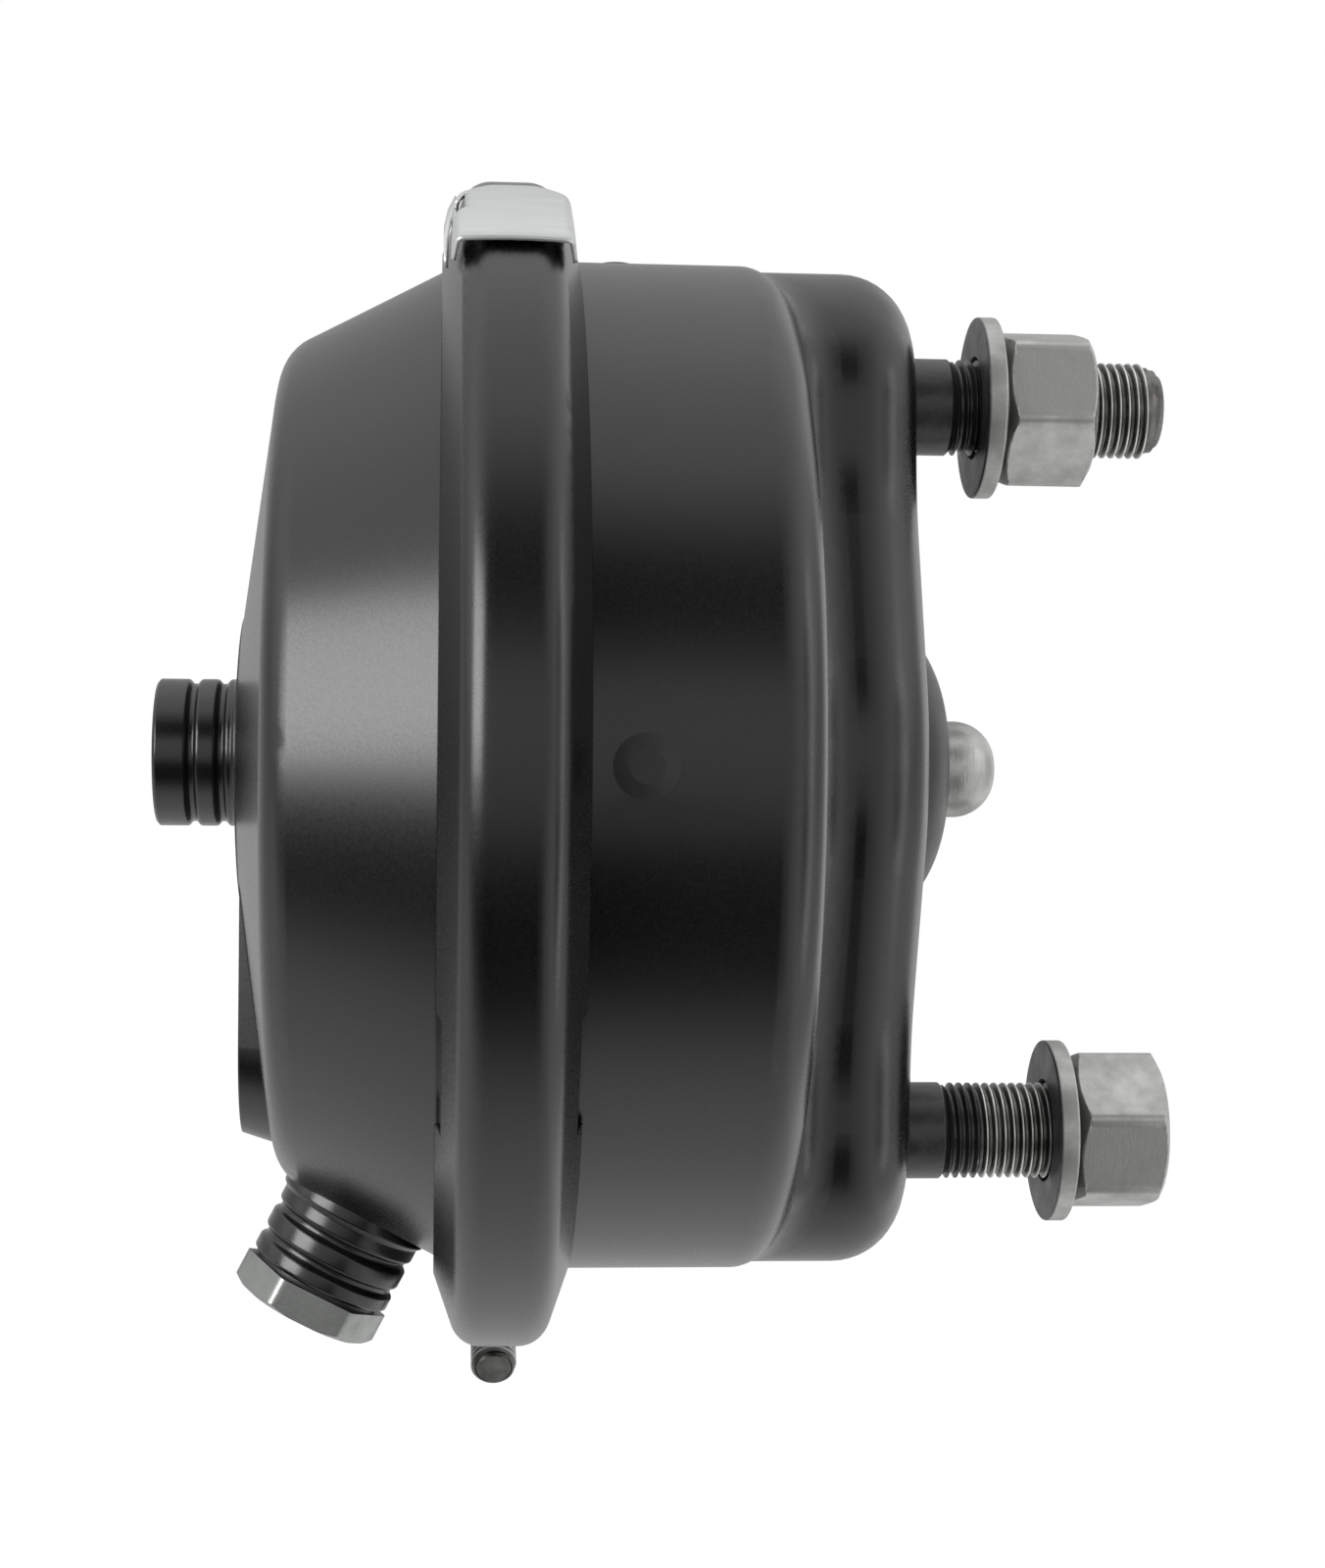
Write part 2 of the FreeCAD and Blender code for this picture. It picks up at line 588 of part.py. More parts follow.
def sector_prism(from_below, to_below, mirror):
    """Wedge between two angles below the level of the axis, near or far side."""
    reach = BAND_R * 1.5
    first = math.radians(from_below)
    last = math.radians(to_below)
    x_from = BAND_X - BAND_HALF * 2
    points = [Vector(x_from, 0, 0),
              Vector(x_from, -mirror * reach * math.cos(first), -reach * math.sin(first)),
              Vector(x_from, -mirror * reach * math.cos(last), -reach * math.sin(last)),
              Vector(x_from, 0, 0)]
    return Part.Face(Part.makePolygon(points)).extrude(Vector(BAND_HALF * 4, 0, 0))


def band_lug(side):
    """Bent-up end of the band with the hole for the bolt."""
    near_y = SPLIT_WIDTH / 2
    foot_r = BAND_R - BAND_T
    profile = rounded_face([(Vector(BAND_X - LUG_HALF, 0, -foot_r), 0),
                            (Vector(BAND_X - LUG_HALF, 0, -LUG_TOP_R), LUG_HALF * LUG_CORNER),
                            (Vector(BAND_X + LUG_HALF, 0, -LUG_TOP_R), LUG_HALF * LUG_CORNER),
                            (Vector(BAND_X + LUG_HALF, 0, -foot_r), 0)])
    lug = profile.extrude(Vector(0, LUG_T, 0))
    hole_start = Vector(BAND_X, -LUG_T, -BOLT_CENTRE_R)
    hole = Part.makeCylinder(BOLT_R + BOLT_HOLE_GAP, LUG_T * 3, hole_start, Vector(0, 1, 0))
    lug = lug.cut(hole)
    lug.translate(Vector(0, near_y if side > 0 else -near_y - LUG_T, 0))
    return around_x(lug, SPLIT_ANGLE)


def bolt_place(shape):
    """Move a piece built along X to the bolt: +X becomes the way to the tip."""
    placed = shape.copy()
    placed.rotate(ORIGIN, Vector(0, 0, 1), -90)
    placed.translate(Vector(BAND_X, 0, -BOLT_CENTRE_R))
    return around_x(placed, SPLIT_ANGLE)


def make_clamp_bolt():
    grip = SPLIT_WIDTH / 2 + LUG_T + PRESS_GAP
    head = chamfered_hexagon(BOLT_HEAD_AF, -grip - BOLT_HEAD_H, -grip)
    end = BOLT_LENGTH - grip
    shank = turned([(-grip, 0), (-grip, BOLT_R), (end - BOLT_CHAMFER, BOLT_R),
                    (end, BOLT_R - BOLT_CHAMFER), (end, 0)])
    return bolt_place(head.fuse(shank).removeSplitter())


def make_clamp_nut():
    grip = SPLIT_WIDTH / 2 + LUG_T + PRESS_GAP
    nut = chamfered_hexagon(BOLT_HEAD_AF, grip, grip + BOLT_NUT_H)
    nut = nut.cut(rod(BOLT_R + THREAD_GAP, grip - 1, grip + BOLT_NUT_H + 1))
    return bolt_place(nut)


def make_label_clip():
    """Bent plate that hooks over the band and follows its section."""
    gap = CLIP_GAP
    out = CLIP_GAP + CLIP_T
    end_r = BAND_R - CLIP_DEPTH
    flank = 1 / FLANK_COS

    def flank_x(r, offset):
        return band_outside(r) + offset * flank

    outer = [(BAND_X - flank_x(end_r, out), end_r),
             (BAND_X - flank_x(BAND_R + out, out), BAND_R + out, BAND_CORNER_R + out),
             (BAND_X + flank_x(BAND_R + out, out), BAND_R + out, BAND_CORNER_R + out),
             (BAND_X + flank_x(end_r, out), end_r)]
    inner = [(BAND_X + flank_x(end_r, gap), end_r),
             (BAND_X + flank_x(BAND_R + gap, gap), BAND_R + gap, BAND_CORNER_R + gap),
             (BAND_X - flank_x(BAND_R + gap, gap), BAND_R + gap, BAND_CORNER_R + gap),
             (BAND_X - flank_x(end_r, gap), end_r)]
    ring = turned(outer + inner)
    return ring.common(sector_prism(-CLIP_TO_ANGLE, -CLIP_FROM_ANGLE, 1))


def make_stud(side):
    """Headed stud: pressed neck in the platform, plain shank, thread, dog end."""
    under = -WALL - PLATE_T - PLATE_GAP
    thread_end = STUD_LENGTH - STUD_DOG
    stud = turned([(under - STUD_HEAD_H, 0), (under - STUD_HEAD_H, STUD_HEAD_R), (under, STUD_HEAD_R),
                   (under, STUD_NECK_R), (0, STUD_NECK_R), (0, STUD_R), (STUD_SHANK, STUD_R),
                   (STUD_SHANK, STUD_THREAD_R), (thread_end - STUD_CHAMFER, STUD_THREAD_R),
                   (thread_end, STUD_DOG_R), (STUD_LENGTH - STUD_CHAMFER / 2, STUD_DOG_R),
                   (STUD_LENGTH, STUD_DOG_R - STUD_CHAMFER / 2), (STUD_LENGTH, 0)])
    stud.translate(Vector(0, 0, side * STUD_Z))
    return stud


def make_washer(x_from, side):
    washer = rod(WASHER_R, x_from, x_from + WASHER_T)
    washer = washer.cut(rod(WASHER_BORE_R, x_from - 1, x_from + WASHER_T + 1))
    washer.translate(Vector(0, 0, side * STUD_Z))
    return washer


def make_nut(washer_x, side, turn):
    x_from = washer_x + WASHER_T + SEAT_GAP
    bore_r = STUD_THREAD_R + NUT_GAP
    nut = chamfered_hexagon(NUT_AF, x_from, x_from + NUT_H)
    mouth = bore_r + NUT_MOUTH
    bore = turned([(x_from, 0), (x_from, mouth), (x_from + NUT_MOUTH, bore_r),
                   (x_from + NUT_H - NUT_MOUTH, bore_r), (x_from + NUT_H, mouth), (x_from + NUT_H, 0)])
    nut = around_x(nut.cut(bore), turn)
    nut.translate(Vector(0, 0, side * STUD_Z))
    return nut


def make_stud_plate():
    """Reinforcing plate that lies inside the platform under the stud heads."""
    front = -WALL - PLATE_GAP
    blank = platform_prism(PLATFORM_EDGE_R + PLATE_INSET, front - PLATE_T, front)
    blank = blank.cut(rod(RETAINER_R + PLATE_GAP, front - PLATE_T * 2, 0))
    for side in (1, -1):
        blank = blank.cut(rod(STUD_NECK_R + PRESS_GAP, front - PLATE_T * 2, 0, 0, side * STUD_Z))
    return blank


def make_retainer():
    """Thin ring that holds the seal and the bellows against the platform."""
    front = -WALL - SEAL_SKIN - SOFT_GAP * 2
    return turned([(front - RETAINER_T, RETAINER_BORE_R), (front - RETAINER_T, RETAINER_R),
                   (-WALL - SOFT_GAP, RETAINER_R), (-WALL - SOFT_GAP, RETAINER_R - RETAINER_T),
                   (front, RETAINER_R - RETAINER_T), (front, RETAINER_BORE_R)])


def make_rod_seal():
    """Rubber seal: a rim under the wall and a dome over the mounting face."""
    rim_x = -WALL - SEAL_SKIN
    rim_r = RETAINER_R - RETAINER_T - SOFT_GAP
    lip_r = ROD_R + SEAL_HOLE_GAP
    skin = SEAL_SKIN
    lip_x = SEAL_DOME - SEAL_TIP_BACK
    return turned([(rim_x - SOFT_GAP, BELLOWS_BIG_R), (rim_x - SOFT_GAP, rim_r), (-WALL - SOFT_GAP, rim_r),
                   (-WALL - SOFT_GAP, SEAL_RIM_R), (0, SEAL_RIM_R),
                   (SEAL_BULGE_X, SEAL_BULGE_R, SEAL_BULGE_ROUND),
                   (SEAL_DOME, lip_r + skin * 0.5), (lip_x, lip_r), (lip_x - skin * 2, lip_r),
                   (lip_x - skin * 2, lip_r + skin * 0.5),
                   (SEAL_BULGE_X - skin, SEAL_BULGE_R - skin, SEAL_BULGE_ROUND - skin * 6),
                   (-WALL, BELLOWS_BIG_R)])


def make_bellows():
    """Folded rubber tube between the retaining ring and a collar on the rod."""
    x_front = -WALL - SEAL_SKIN - RETAINER_T - SOFT_GAP * 3
    x_collar = PUSH_PLATE_X + PUSH_PLATE_T + HUB_H + BELLOWS_END
    step = (x_front - x_collar) / (2 * BELLOWS_FOLDS)
    half = BELLOWS_T / 2
    collar_r = ROD_R + SEAL_HOLE_GAP
    outer = []
    inner = []
    for i in range(2 * BELLOWS_FOLDS):
        x = x_front - i * step
        r = BELLOWS_BIG_R if i % 2 == 0 else BELLOWS_SMALL_R
        outer.append((x, r + half))
        inner.append((x, r - half))
    rim = [(x_front, RETAINER_BORE_R + BELLOWS_T)]
    last_x = outer[-1][0]
    collar = [(last_x, collar_r), (x_collar, collar_r), (x_collar, BELLOWS_SMALL_R + half)]
    return turned(inner + collar + outer[::-1] + rim)


def make_push_rod():
    """Bare steel rod with a rounded end, welded to the hub of the push plate."""
    foot = PUSH_PLATE_X + PUSH_PLATE_T + HUB_H
    return turned([(foot, 0), (foot, ROD_R), (ROD_TIP_X, ROD_R, ROD_R * ROD_TIP_ROUND), (ROD_TIP_X, 0)])


def make_push_plate():
    """Pressed plate with a turned-up rim and the hub that carries the rod."""
    rear = PUSH_PLATE_X
    front = rear + PUSH_PLATE_T
    rim = front + PUSH_PLATE_RIM
    return turned([(rear, 0), (rear, PUSH_PLATE_R, PUSH_PLATE_T * PUSH_PLATE_BEND),
                   (rim, PUSH_PLATE_R + PUSH_PLATE_T, PLATE_EDGE_R), (rim, PUSH_PLATE_R, PLATE_EDGE_R),
                   (front, PUSH_PLATE_R - PUSH_PLATE_T, PLATE_ROOT_R), (front, HUB_R, PLATE_ROOT_R),
                   (front + HUB_H, HUB_R - HUB_TAPER, PLATE_EDGE_R), (front + HUB_H, 0)])


def make_diaphragm():
    """Rubber cup lying in the cap, with a wedge bead between the flanges."""
    bead_gap = SOFT_GAP / FLANK_COS
    top_r = FLANGE_R
    top_half = flange_inside(top_r) - bead_gap
    foot_r = HOUSING_R - WALL - SOFT_GAP
    foot_half = flange_inside(foot_r) - bead_gap
    cone = math.tan(math.radians(CAP_CONE_ANGLE))
    side_r = CAP_R - WALL - DIAPHRAGM_SIDE_GAP
    rear = PUSH_PLATE_X - DIAPHRAGM_GAP - DIAPHRAGM_T
    bend_x = BAND_X - CAP_SIDE_END
    rear_r = side_r - (bend_x - rear) * cone
    skin = DIAPHRAGM_T
    front_r = rear_r - skin * (DIAPHRAGM_LEAN + DIAPHRAGM_FRONT_IN)
    front_round = DIAPHRAGM_REAR_R - skin * (1 - DIAPHRAGM_LEAN) + DIAPHRAGM_LEAN
    return turned([(BAND_X - top_half, top_r), (BAND_X + top_half, top_r),
                   (BAND_X + foot_half, foot_r), (BAND_X + foot_half * DIAPHRAGM_LEAN, side_r - skin, DIAPHRAGM_BEAD_R),
                   (bend_x, side_r - skin, DIAPHRAGM_ROLL_R), (rear + skin, front_r, front_round), (rear + skin, 0),
                   (rear, 0), (rear, rear_r, DIAPHRAGM_REAR_R), (bend_x, side_r, DIAPHRAGM_ROLL_R),
                   (BAND_X - foot_half, side_r, DIAPHRAGM_BEAD_R), (BAND_X - foot_half, foot_r)])


def make_return_spring():
    """Conical coil from the push plate to the end of the housing."""
    start = PUSH_PLATE_X + PUSH_PLATE_T + SPRING_GAP + SPRING_WIRE_R
    end = -WALL - PLATE_T - PLATE_GAP - SPRING_GAP - SPRING_WIRE_R
    height = end - start
    pitch = height / SPRING_TURNS
    angle = math.degrees(math.atan((SPRING_LARGE_R - SPRING_SMALL_R) / height))
    helix = Part.makeHelix(pitch, height, SPRING_SMALL_R, angle)
    section = Part.Wire(Part.makeCircle(SPRING_WIRE_R, Vector(SPRING_SMALL_R, 0, 0), Vector(0, 1, 0)))
    coil = Part.Wire(helix.Edges).makePipeShell([section], True, True)
    coil.rotate(ORIGIN, Vector(0, 1, 0), 90)
    coil.translate(Vector(start, 0, 0))
    return coil


def build():
    return {
        "pressure_cap": make_pressure_cap(),
        "port_boss_centre": make_port_boss_centre(),
        "port_boss_inclined": make_port_boss_inclined(),
        "port_plug": make_port_plug(),
        "plug_seal": make_plug_seal(),
        "clamp_band": make_clamp_band(),
        "clamp_bolt": make_clamp_bolt(),
        "clamp_nut": make_clamp_nut(),
        "label_clip": make_label_clip(),
        "housing": make_housing(),
        "stud_plate": make_stud_plate(),
        "drain_plug_top": make_drain_plug(0),
        "drain_plug_near": make_drain_plug(90),
        "drain_plug_far": make_drain_plug(-90),
        "stud_upper": make_stud(1),
        "stud_lower": make_stud(-1),
        "washer_upper": make_washer(UPPER_WASHER_X, 1),
        "washer_lower": make_washer(LOWER_WASHER_X, -1),
        "nut_upper": make_nut(UPPER_WASHER_X, 1, UPPER_NUT_ANGLE),
        "nut_lower": make_nut(LOWER_WASHER_X, -1, LOWER_NUT_ANGLE),
        "diaphragm": make_diaphragm(),
        "push_plate": make_push_plate(),
        "push_rod": make_push_rod(),
        "return_spring": make_return_spring(),
        "bellows": make_bellows(),
        "rod_seal": make_rod_seal(),
        "retainer_ring": make_retainer(),
    }


os.makedirs("parts", exist_ok=True)
for name, shape in build().items():
    shape.exportStep("parts/" + name + ".step")
    state = "valid" if shape.isValid() else "not valid"
    print(name, len(shape.Solids), "solids,", state, round(shape.Volume / 1000, 2), "cm3")
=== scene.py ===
"""Looks of the air brake chamber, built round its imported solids.

Metres, in the frame of the solids: the chamber's axis is X, the mounting face is
the plane X = 0, +X points out towards the caliper and +Z is up.
"""
import bmesh
import bpy
import math
from mathutils import Matrix, Vector


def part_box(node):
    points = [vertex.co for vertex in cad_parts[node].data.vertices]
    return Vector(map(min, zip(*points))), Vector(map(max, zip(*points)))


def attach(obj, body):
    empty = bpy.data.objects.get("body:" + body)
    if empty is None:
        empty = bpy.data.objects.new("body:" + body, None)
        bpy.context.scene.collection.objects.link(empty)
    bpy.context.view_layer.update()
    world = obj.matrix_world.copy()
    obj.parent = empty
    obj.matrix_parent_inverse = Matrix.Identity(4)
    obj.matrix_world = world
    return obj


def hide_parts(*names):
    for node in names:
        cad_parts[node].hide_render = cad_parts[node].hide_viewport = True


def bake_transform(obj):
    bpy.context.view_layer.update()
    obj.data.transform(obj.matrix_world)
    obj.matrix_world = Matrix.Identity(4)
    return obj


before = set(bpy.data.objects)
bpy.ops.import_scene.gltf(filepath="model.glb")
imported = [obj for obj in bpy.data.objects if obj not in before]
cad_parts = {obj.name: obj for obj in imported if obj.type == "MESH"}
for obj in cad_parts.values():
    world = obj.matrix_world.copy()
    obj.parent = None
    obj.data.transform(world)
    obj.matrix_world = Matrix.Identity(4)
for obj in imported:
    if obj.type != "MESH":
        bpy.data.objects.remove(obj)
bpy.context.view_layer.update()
MM = 0.001

# Places taken from the solids
BAND_X = sum((corner.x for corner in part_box("clamp_band")), 0.0) / 2
PORT_END_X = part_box("port_boss_centre")[0].x
STUD_END_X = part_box("stud_upper")[1].x
STUD_Z = (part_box("stud_upper")[0].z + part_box("stud_upper")[1].z) / 2

# Camera of the photograph
CAMERA_PLACE = Vector((-76 * MM, -459 * MM, 0))
CAMERA_YAW = math.radians(4.56)
CAMERA_PITCH = math.radians(-0.36)
CAMERA_ROLL = math.radians(0.55)
CAMERA_LENS = 63.8

# Floor, out of sight of the reflections
FLOOR_Z = -170 * MM
FLOOR_REACH = 6.0
FLOOR_GLOW = 1.04

# Lamps: name, place, target, width, height and power
LAMPS = (("left_front", (-0.80, -0.55, 0.24), (-0.08, -0.02, 0.0), 0.55, 0.52, 7.9),
         ("right_front", (0.95, -0.30, 0.0), (-0.03, -0.02, 0.0), 0.24, 1.20, 2.2))

# Studio: its peak brightness, its brightness by the share of +X in a direction, and its
# brightness by the angle round the chamber's axis, in degrees up from the front
STUDIO_PEAK = 1.5
STUDIO_SIDES = ((-1.0, 0.35), (-0.96, 0.35), (-0.80, 0.0), (0.24, 0.0), (0.36, 0.90), (0.60, 1.0),
                (0.68, 1.5), (0.77, 1.5), (0.86, 0.1), (1.0, 0.1))
STUDIO_LEVELS = ((-180, 0.7), (-137, 0.85), (-110, 1.2), (-75, 1.2), (-62, 0.85), (-50, 0.20), (-40, 0.0),
                 (-18, 0.0), (-13, 0.6), (-2, 0.9), (17, 1.05), (24, 0.3), (31, 0.0), (44, 0.05), (57, 0.8),
                 (68, 1.4), (105, 1.45), (125, 1.0), (150, 0.6), (180, 0.7))

# Threads
M16_CREST = 7.92 * MM
M16_DEPTH = 0.9 * MM
M16_PITCH = 1.5 * MM
M8_CREST = 3.95 * MM
M8_DEPTH = 0.72 * MM
M8_PITCH = 1.25 * MM

# Studs, nuts and washers
HEXAGON_CORNER = 0.985
HEXAGON_CHAMFER = math.radians(30)
STUD_HEAD_R = 12 * MM
STUD_HEAD_X = -6.6 * MM
STUD_NECK_R = 8.3 * MM
SHANK_R = 8.0 * MM
SHANK_END_X = 8.0 * MM
PAINT_END_X = 13.4 * MM
DOG_R = 6.5 * MM
DOG_LENGTH = 2.6 * MM
DOG_HOLLOW_R = 4.2 * MM
DOG_HOLLOW_DEEP = 0.7 * MM
NUT_FLATS = 24.0 * MM
NUT_FACE_R = 11.4 * MM
NUT_BORE_R = 7.9 * MM
WASHER_R = 15.0 * MM
WASHER_BORE_R = 8.5 * MM
BORE_CHAMFER = 0.9 * MM
EDGE = 0.35 * MM
NUT_EDGE = 0.6 * MM
NUT_SEAT_R = 11.0 * MM
NUT_SEAT_T = 0.85 * MM
UPPER_NUT_TURN = math.radians(14)
LOWER_NUT_TURN = math.radians(-16)

# Clamp bolt, in its own line: +X is the way to its tip
SPLIT_ANGLE = math.radians(28)
BOLT_CENTRE_R = 102 * MM
BOLT_GRIP = 7.55 * MM
BOLT_TIP = 30.45 * MM
BOLT_FLATS = 13.0 * MM
BOLT_HEAD_H = 5.3 * MM
BOLT_NUT_H = 6.5 * MM
BOLT_NUT_BORE_R = 4.05 * MM
BOLT_FACE_R = 6.1 * MM

# Ports
PORT_BORE_R = 7.25 * MM
PORT_THREAD_DEPTH = 0.75 * MM
PORT_THREAD_LENGTH = 13.5 * MM
PORT_Z = (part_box("port_boss_centre")[0].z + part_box("port_boss_centre")[1].z) / 2
CAP_END_X = BAND_X - 42.0 * MM
PORT_R = 12.0 * MM
PORT_COLLAR_R = 12.7 * MM
PORT_GROOVE = 0.75 * MM
PORT_SUNK = 1.4 * MM
GROOVE_STEP = 4.7 * MM
CENTRE_GROOVE = 6.1 * MM
CONE_ANGLE = math.radians(27.4)
INCLINED_BACK = 23.2 * MM
INCLINED_FOOT_R = 73.06 * MM
INCLINED_LENGTH = 12.9 * MM
INCLINED_GROOVE = 3.5 * MM
SEAL_T = 0.8 * MM
PLUG_FLATS = 22.0 * MM
PLUG_H = 5.2 * MM
PLUG_FACE_R = 11.2 * MM
PLUG_TURN = math.radians(33)

# Label clip, folded over the band; x from the band's middle and angles up from the near side
CLIP_HALF = 8.5 * MM
CLIP_FOOT_HALF = 9.2 * MM
CLIP_R = 95.05 * MM
CLIP_FOOT_R = 91.0 * MM
CLIP_FOLD_R = 2.6 * MM
CLIP_T = 0.7 * MM
CLIP_LOW = math.radians(53.0)
CLIP_HIGH = math.radians(68.0)
CLIP_SIDE_HIGH = math.radians(64.3)
CLIP_SLOT_LOW = math.radians(59.6)
CLIP_SLOT_HIGH = math.radians(63.6)
CLIP_LIP = 0.55 * MM
CLIP_CROWN = 0.25 * MM
CLIP_TAIL_HALF = 10.3 * MM
CLIP_TAIL_WIDE = 3.4


def arc_points(before, corner, after, radius, steps=6):
    """Points that round one corner of an outline."""
    before, corner, after = Vector(before), Vector(corner), Vector(after)
    to_before = (before - corner).normalized()
    to_after = (after - corner).normalized()
    half = to_before.angle(to_after) / 2
    reach = min(radius / math.tan(half), (before - corner).length / 2, (after - corner).length / 2)
    start = corner + to_before * reach
    end = corner + to_after * reach
    points = []
    for i in range(steps + 1):
        t = i / steps
        points.append(start * (1 - t) ** 2 + corner * 2 * t * (1 - t) + end * t ** 2)
    return points


def rounded(outline, closed=True):
    """Outline from (x, r, radius) corners, with arcs at the rounded ones."""
    count = len(outline)
    points = []
    for i in range(count):
        x, r, radius = outline[i]
        inner = closed or 0 < i < count - 1
        if radius > 0 and inner:
            before = outline[i - 1][:2]
            after = outline[(i + 1) % count][:2]
            points += arc_points(before, (x, r), after, radius)
        else:
            points.append(Vector((x, r)))
    return points


def rings_shell(rings, closed):
    """Points and faces of a skin over rings that all have the same number of points."""
    count = len(rings[0])
    points = [point for ring in rings for point in ring]
    faces = []
    for i in range(len(rings) if closed else len(rings) - 1):
        first = i * count
        second = ((i + 1) % len(rings)) * count
        for j in range(count):
            k = (j + 1) % count
            faces.append((first + j, second + j, second + k, first + k))
    return points, faces


def turned(outline, closed=True, segments=128):
    """Skin turned round X from (x, r, radius) corners."""
    rings = []
    for point in rounded(outline, closed):
        ring = []
        for j in range(segments):
            angle = 2 * math.pi * j / segments
            ring.append((point[0], point[1] * math.cos(angle), point[1] * math.sin(angle)))
        rings.append(ring)
    return rings_shell(rings, closed)


def thread(x_from, x_to, crest_r, depth, pitch, limit, inward=False, segments=96):
    """Skin of a helical thread round X; limit(x) is the largest radius at x."""
    profile = ((0.0, 0.0), (0.14, 0.0), (0.44, 1.0), (0.70, 1.0))
    turns = int((x_to - x_from) / pitch) + 2
    rings = []
    for turn in range(-1, turns):
        for phase, fall in profile:
            ring = []
            for j in range(segments + 1):
                x = x_from + (turn + phase + j / segments) * pitch
                x = min(max(x, x_from), x_to)
                r = crest_r - depth * fall
                r = max(r, limit(x)) if inward else min(r, limit(x))
                angle = 2 * math.pi * j / segments
                ring.append((x, r * math.cos(angle), r * math.sin(angle)))
            rings.append(ring)
    count = segments + 1
    points = [point for ring in rings for point in ring]
    faces = []
    for i in range(len(rings) - 1):
        for j in range(segments):
            a = i * count + j
            faces.append((a, a + count, a + count + 1, a + 1))
    return points, faces


def hexagon_r(flats, angle, corner_r):
    """Distance from the axis to a hexagon with softened corners."""
    off_flat = (angle + math.pi / 6) % (math.pi / 3) - math.pi / 6
    return min(flats / 2 / math.cos(off_flat), corner_r)


def hexagon_skin(flats, x_from, x_to, bore_r, face_r, both_ends=True, closed=True):
    """Skin of a hexagon with turned-off corners: a nut with a bore, or a solid head if not closed."""
    corner_r = flats / math.sqrt(3) * HEXAGON_CORNER
    slope = math.tan(HEXAGON_CHAMFER)
    fall = (corner_r - face_r) * slope
    steps = 10
    segments = 144
    stations = []
    for i in range(steps + 1):
        stations.append(x_from + fall * i / steps)
    for i in range(steps + 1):
        stations.append(x_to - fall * (steps - i) / steps)

    def cone_r(x):
        outer = face_r + (x_to - x) / slope
        if both_ends:
            outer = min(outer, face_r + (x - x_from) / slope)
        return outer

    rings = []
    mouth = bore_r + BORE_CHAMFER
    loops = [(x_to, mouth), (x_to - BORE_CHAMFER, bore_r), (x_from + BORE_CHAMFER, bore_r), (x_from, mouth)]
    if not closed:
        loops = [(x_to, 0.0), (x_from, 0.0)]
    for x in stations:
        ring = []
        for j in range(segments):
            angle = 2 * math.pi * j / segments
            r = min(hexagon_r(flats, angle, corner_r), cone_r(x))
            ring.append((x, r * math.cos(angle), r * math.sin(angle)))
        rings.append(ring)
    for x, r in loops:
        ring = []
        for j in range(segments):
            angle = 2 * math.pi * j / segments
            ring.append((x, r * math.cos(angle), r * math.sin(angle)))
        rings.append(ring)
    return rings_shell(rings, True)


def piece(name, skins, look, body, nodes=(), place=None, sharp=32, bevel=0.0):
    """One object from several skins, dressed, riding its body and standing for nodes."""
    points = []
    faces = []
    for skin_points, skin_faces in skins:
        start = len(points)
        points += [tuple(point) for point in skin_points]
        faces += [tuple(start + corner for corner in face) for face in skin_faces]
    mesh = bpy.data.meshes.new(name)
    mesh.from_pydata(points, [], faces)
    work = bmesh.new()
    work.from_mesh(mesh)
    bmesh.ops.remove_doubles(work, verts=work.verts, dist=1e-6)
    bmesh.ops.dissolve_degenerate(work, edges=work.edges, dist=1e-6)
    bmesh.ops.recalc_face_normals(work, faces=work.faces)
    work.to_mesh(mesh)
    work.free()
    if place is not None:
        mesh.transform(place)
    mesh.shade_smooth()
    mesh.set_sharp_from_angle(angle=math.radians(sharp))
    made = bpy.data.objects.new(name, mesh)
    bpy.context.scene.collection.objects.link(made)
    mesh.materials.append(look)
    if bevel:
        softened = made.modifiers.new("edges", "BEVEL")
        softened.width = bevel
        softened.segments = 3
        softened.limit_method = "ANGLE"
        softened.angle_limit = math.radians(sharp)
        softened.harden_normals = True
    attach(made, body)
    if nodes:
        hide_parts(*nodes)
    return made


def dress(node, look):
    """Gives a node of the solids its material."""
    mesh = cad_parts[node].data
    mesh.materials.clear()
    mesh.materials.append(look)


def new_look(name):
    """New material with its node tree and its shader."""
    look = bpy.data.materials.new(name)
    look.use_nodes = True
    tree = look.node_tree
    return look, tree, tree.nodes["Principled BSDF"]


def add(tree, kind, **values):
    """Node with its properties or input values set by name."""
    node = tree.nodes.new(kind)
    for name, value in values.items():
        if hasattr(node, name):
            setattr(node, name, value)
        else:
            node.inputs[name.replace("_", " ").title()].default_value = value
    return node


def object_place(tree):
    """Output with the point's place in the part's own frame."""
    return add(tree, "ShaderNodeTexCoord").outputs["Object"]


def noise(tree, place, scale, detail=2.0, roughness=0.5):
    """Share of 0 to 1 that wanders with the place."""
    node = add(tree, "ShaderNodeTexNoise", scale=scale, detail=detail, roughness=roughness)
    tree.links.new(place, node.inputs["Vector"])
    return node.outputs["Fac"]


def ramp(tree, source, low, high, colour_low, colour_high):
    """Colour that runs from one to the other as source goes from low to high."""
    node = tree.nodes.new("ShaderNodeValToRGB")
    node.color_ramp.elements[0].position = low
    node.color_ramp.elements[1].position = high
    node.color_ramp.elements[0].color = (*colour_low, 1)
    node.color_ramp.elements[1].color = (*colour_high, 1)
    tree.links.new(source, node.inputs["Fac"])
    return node.outputs["Color"]


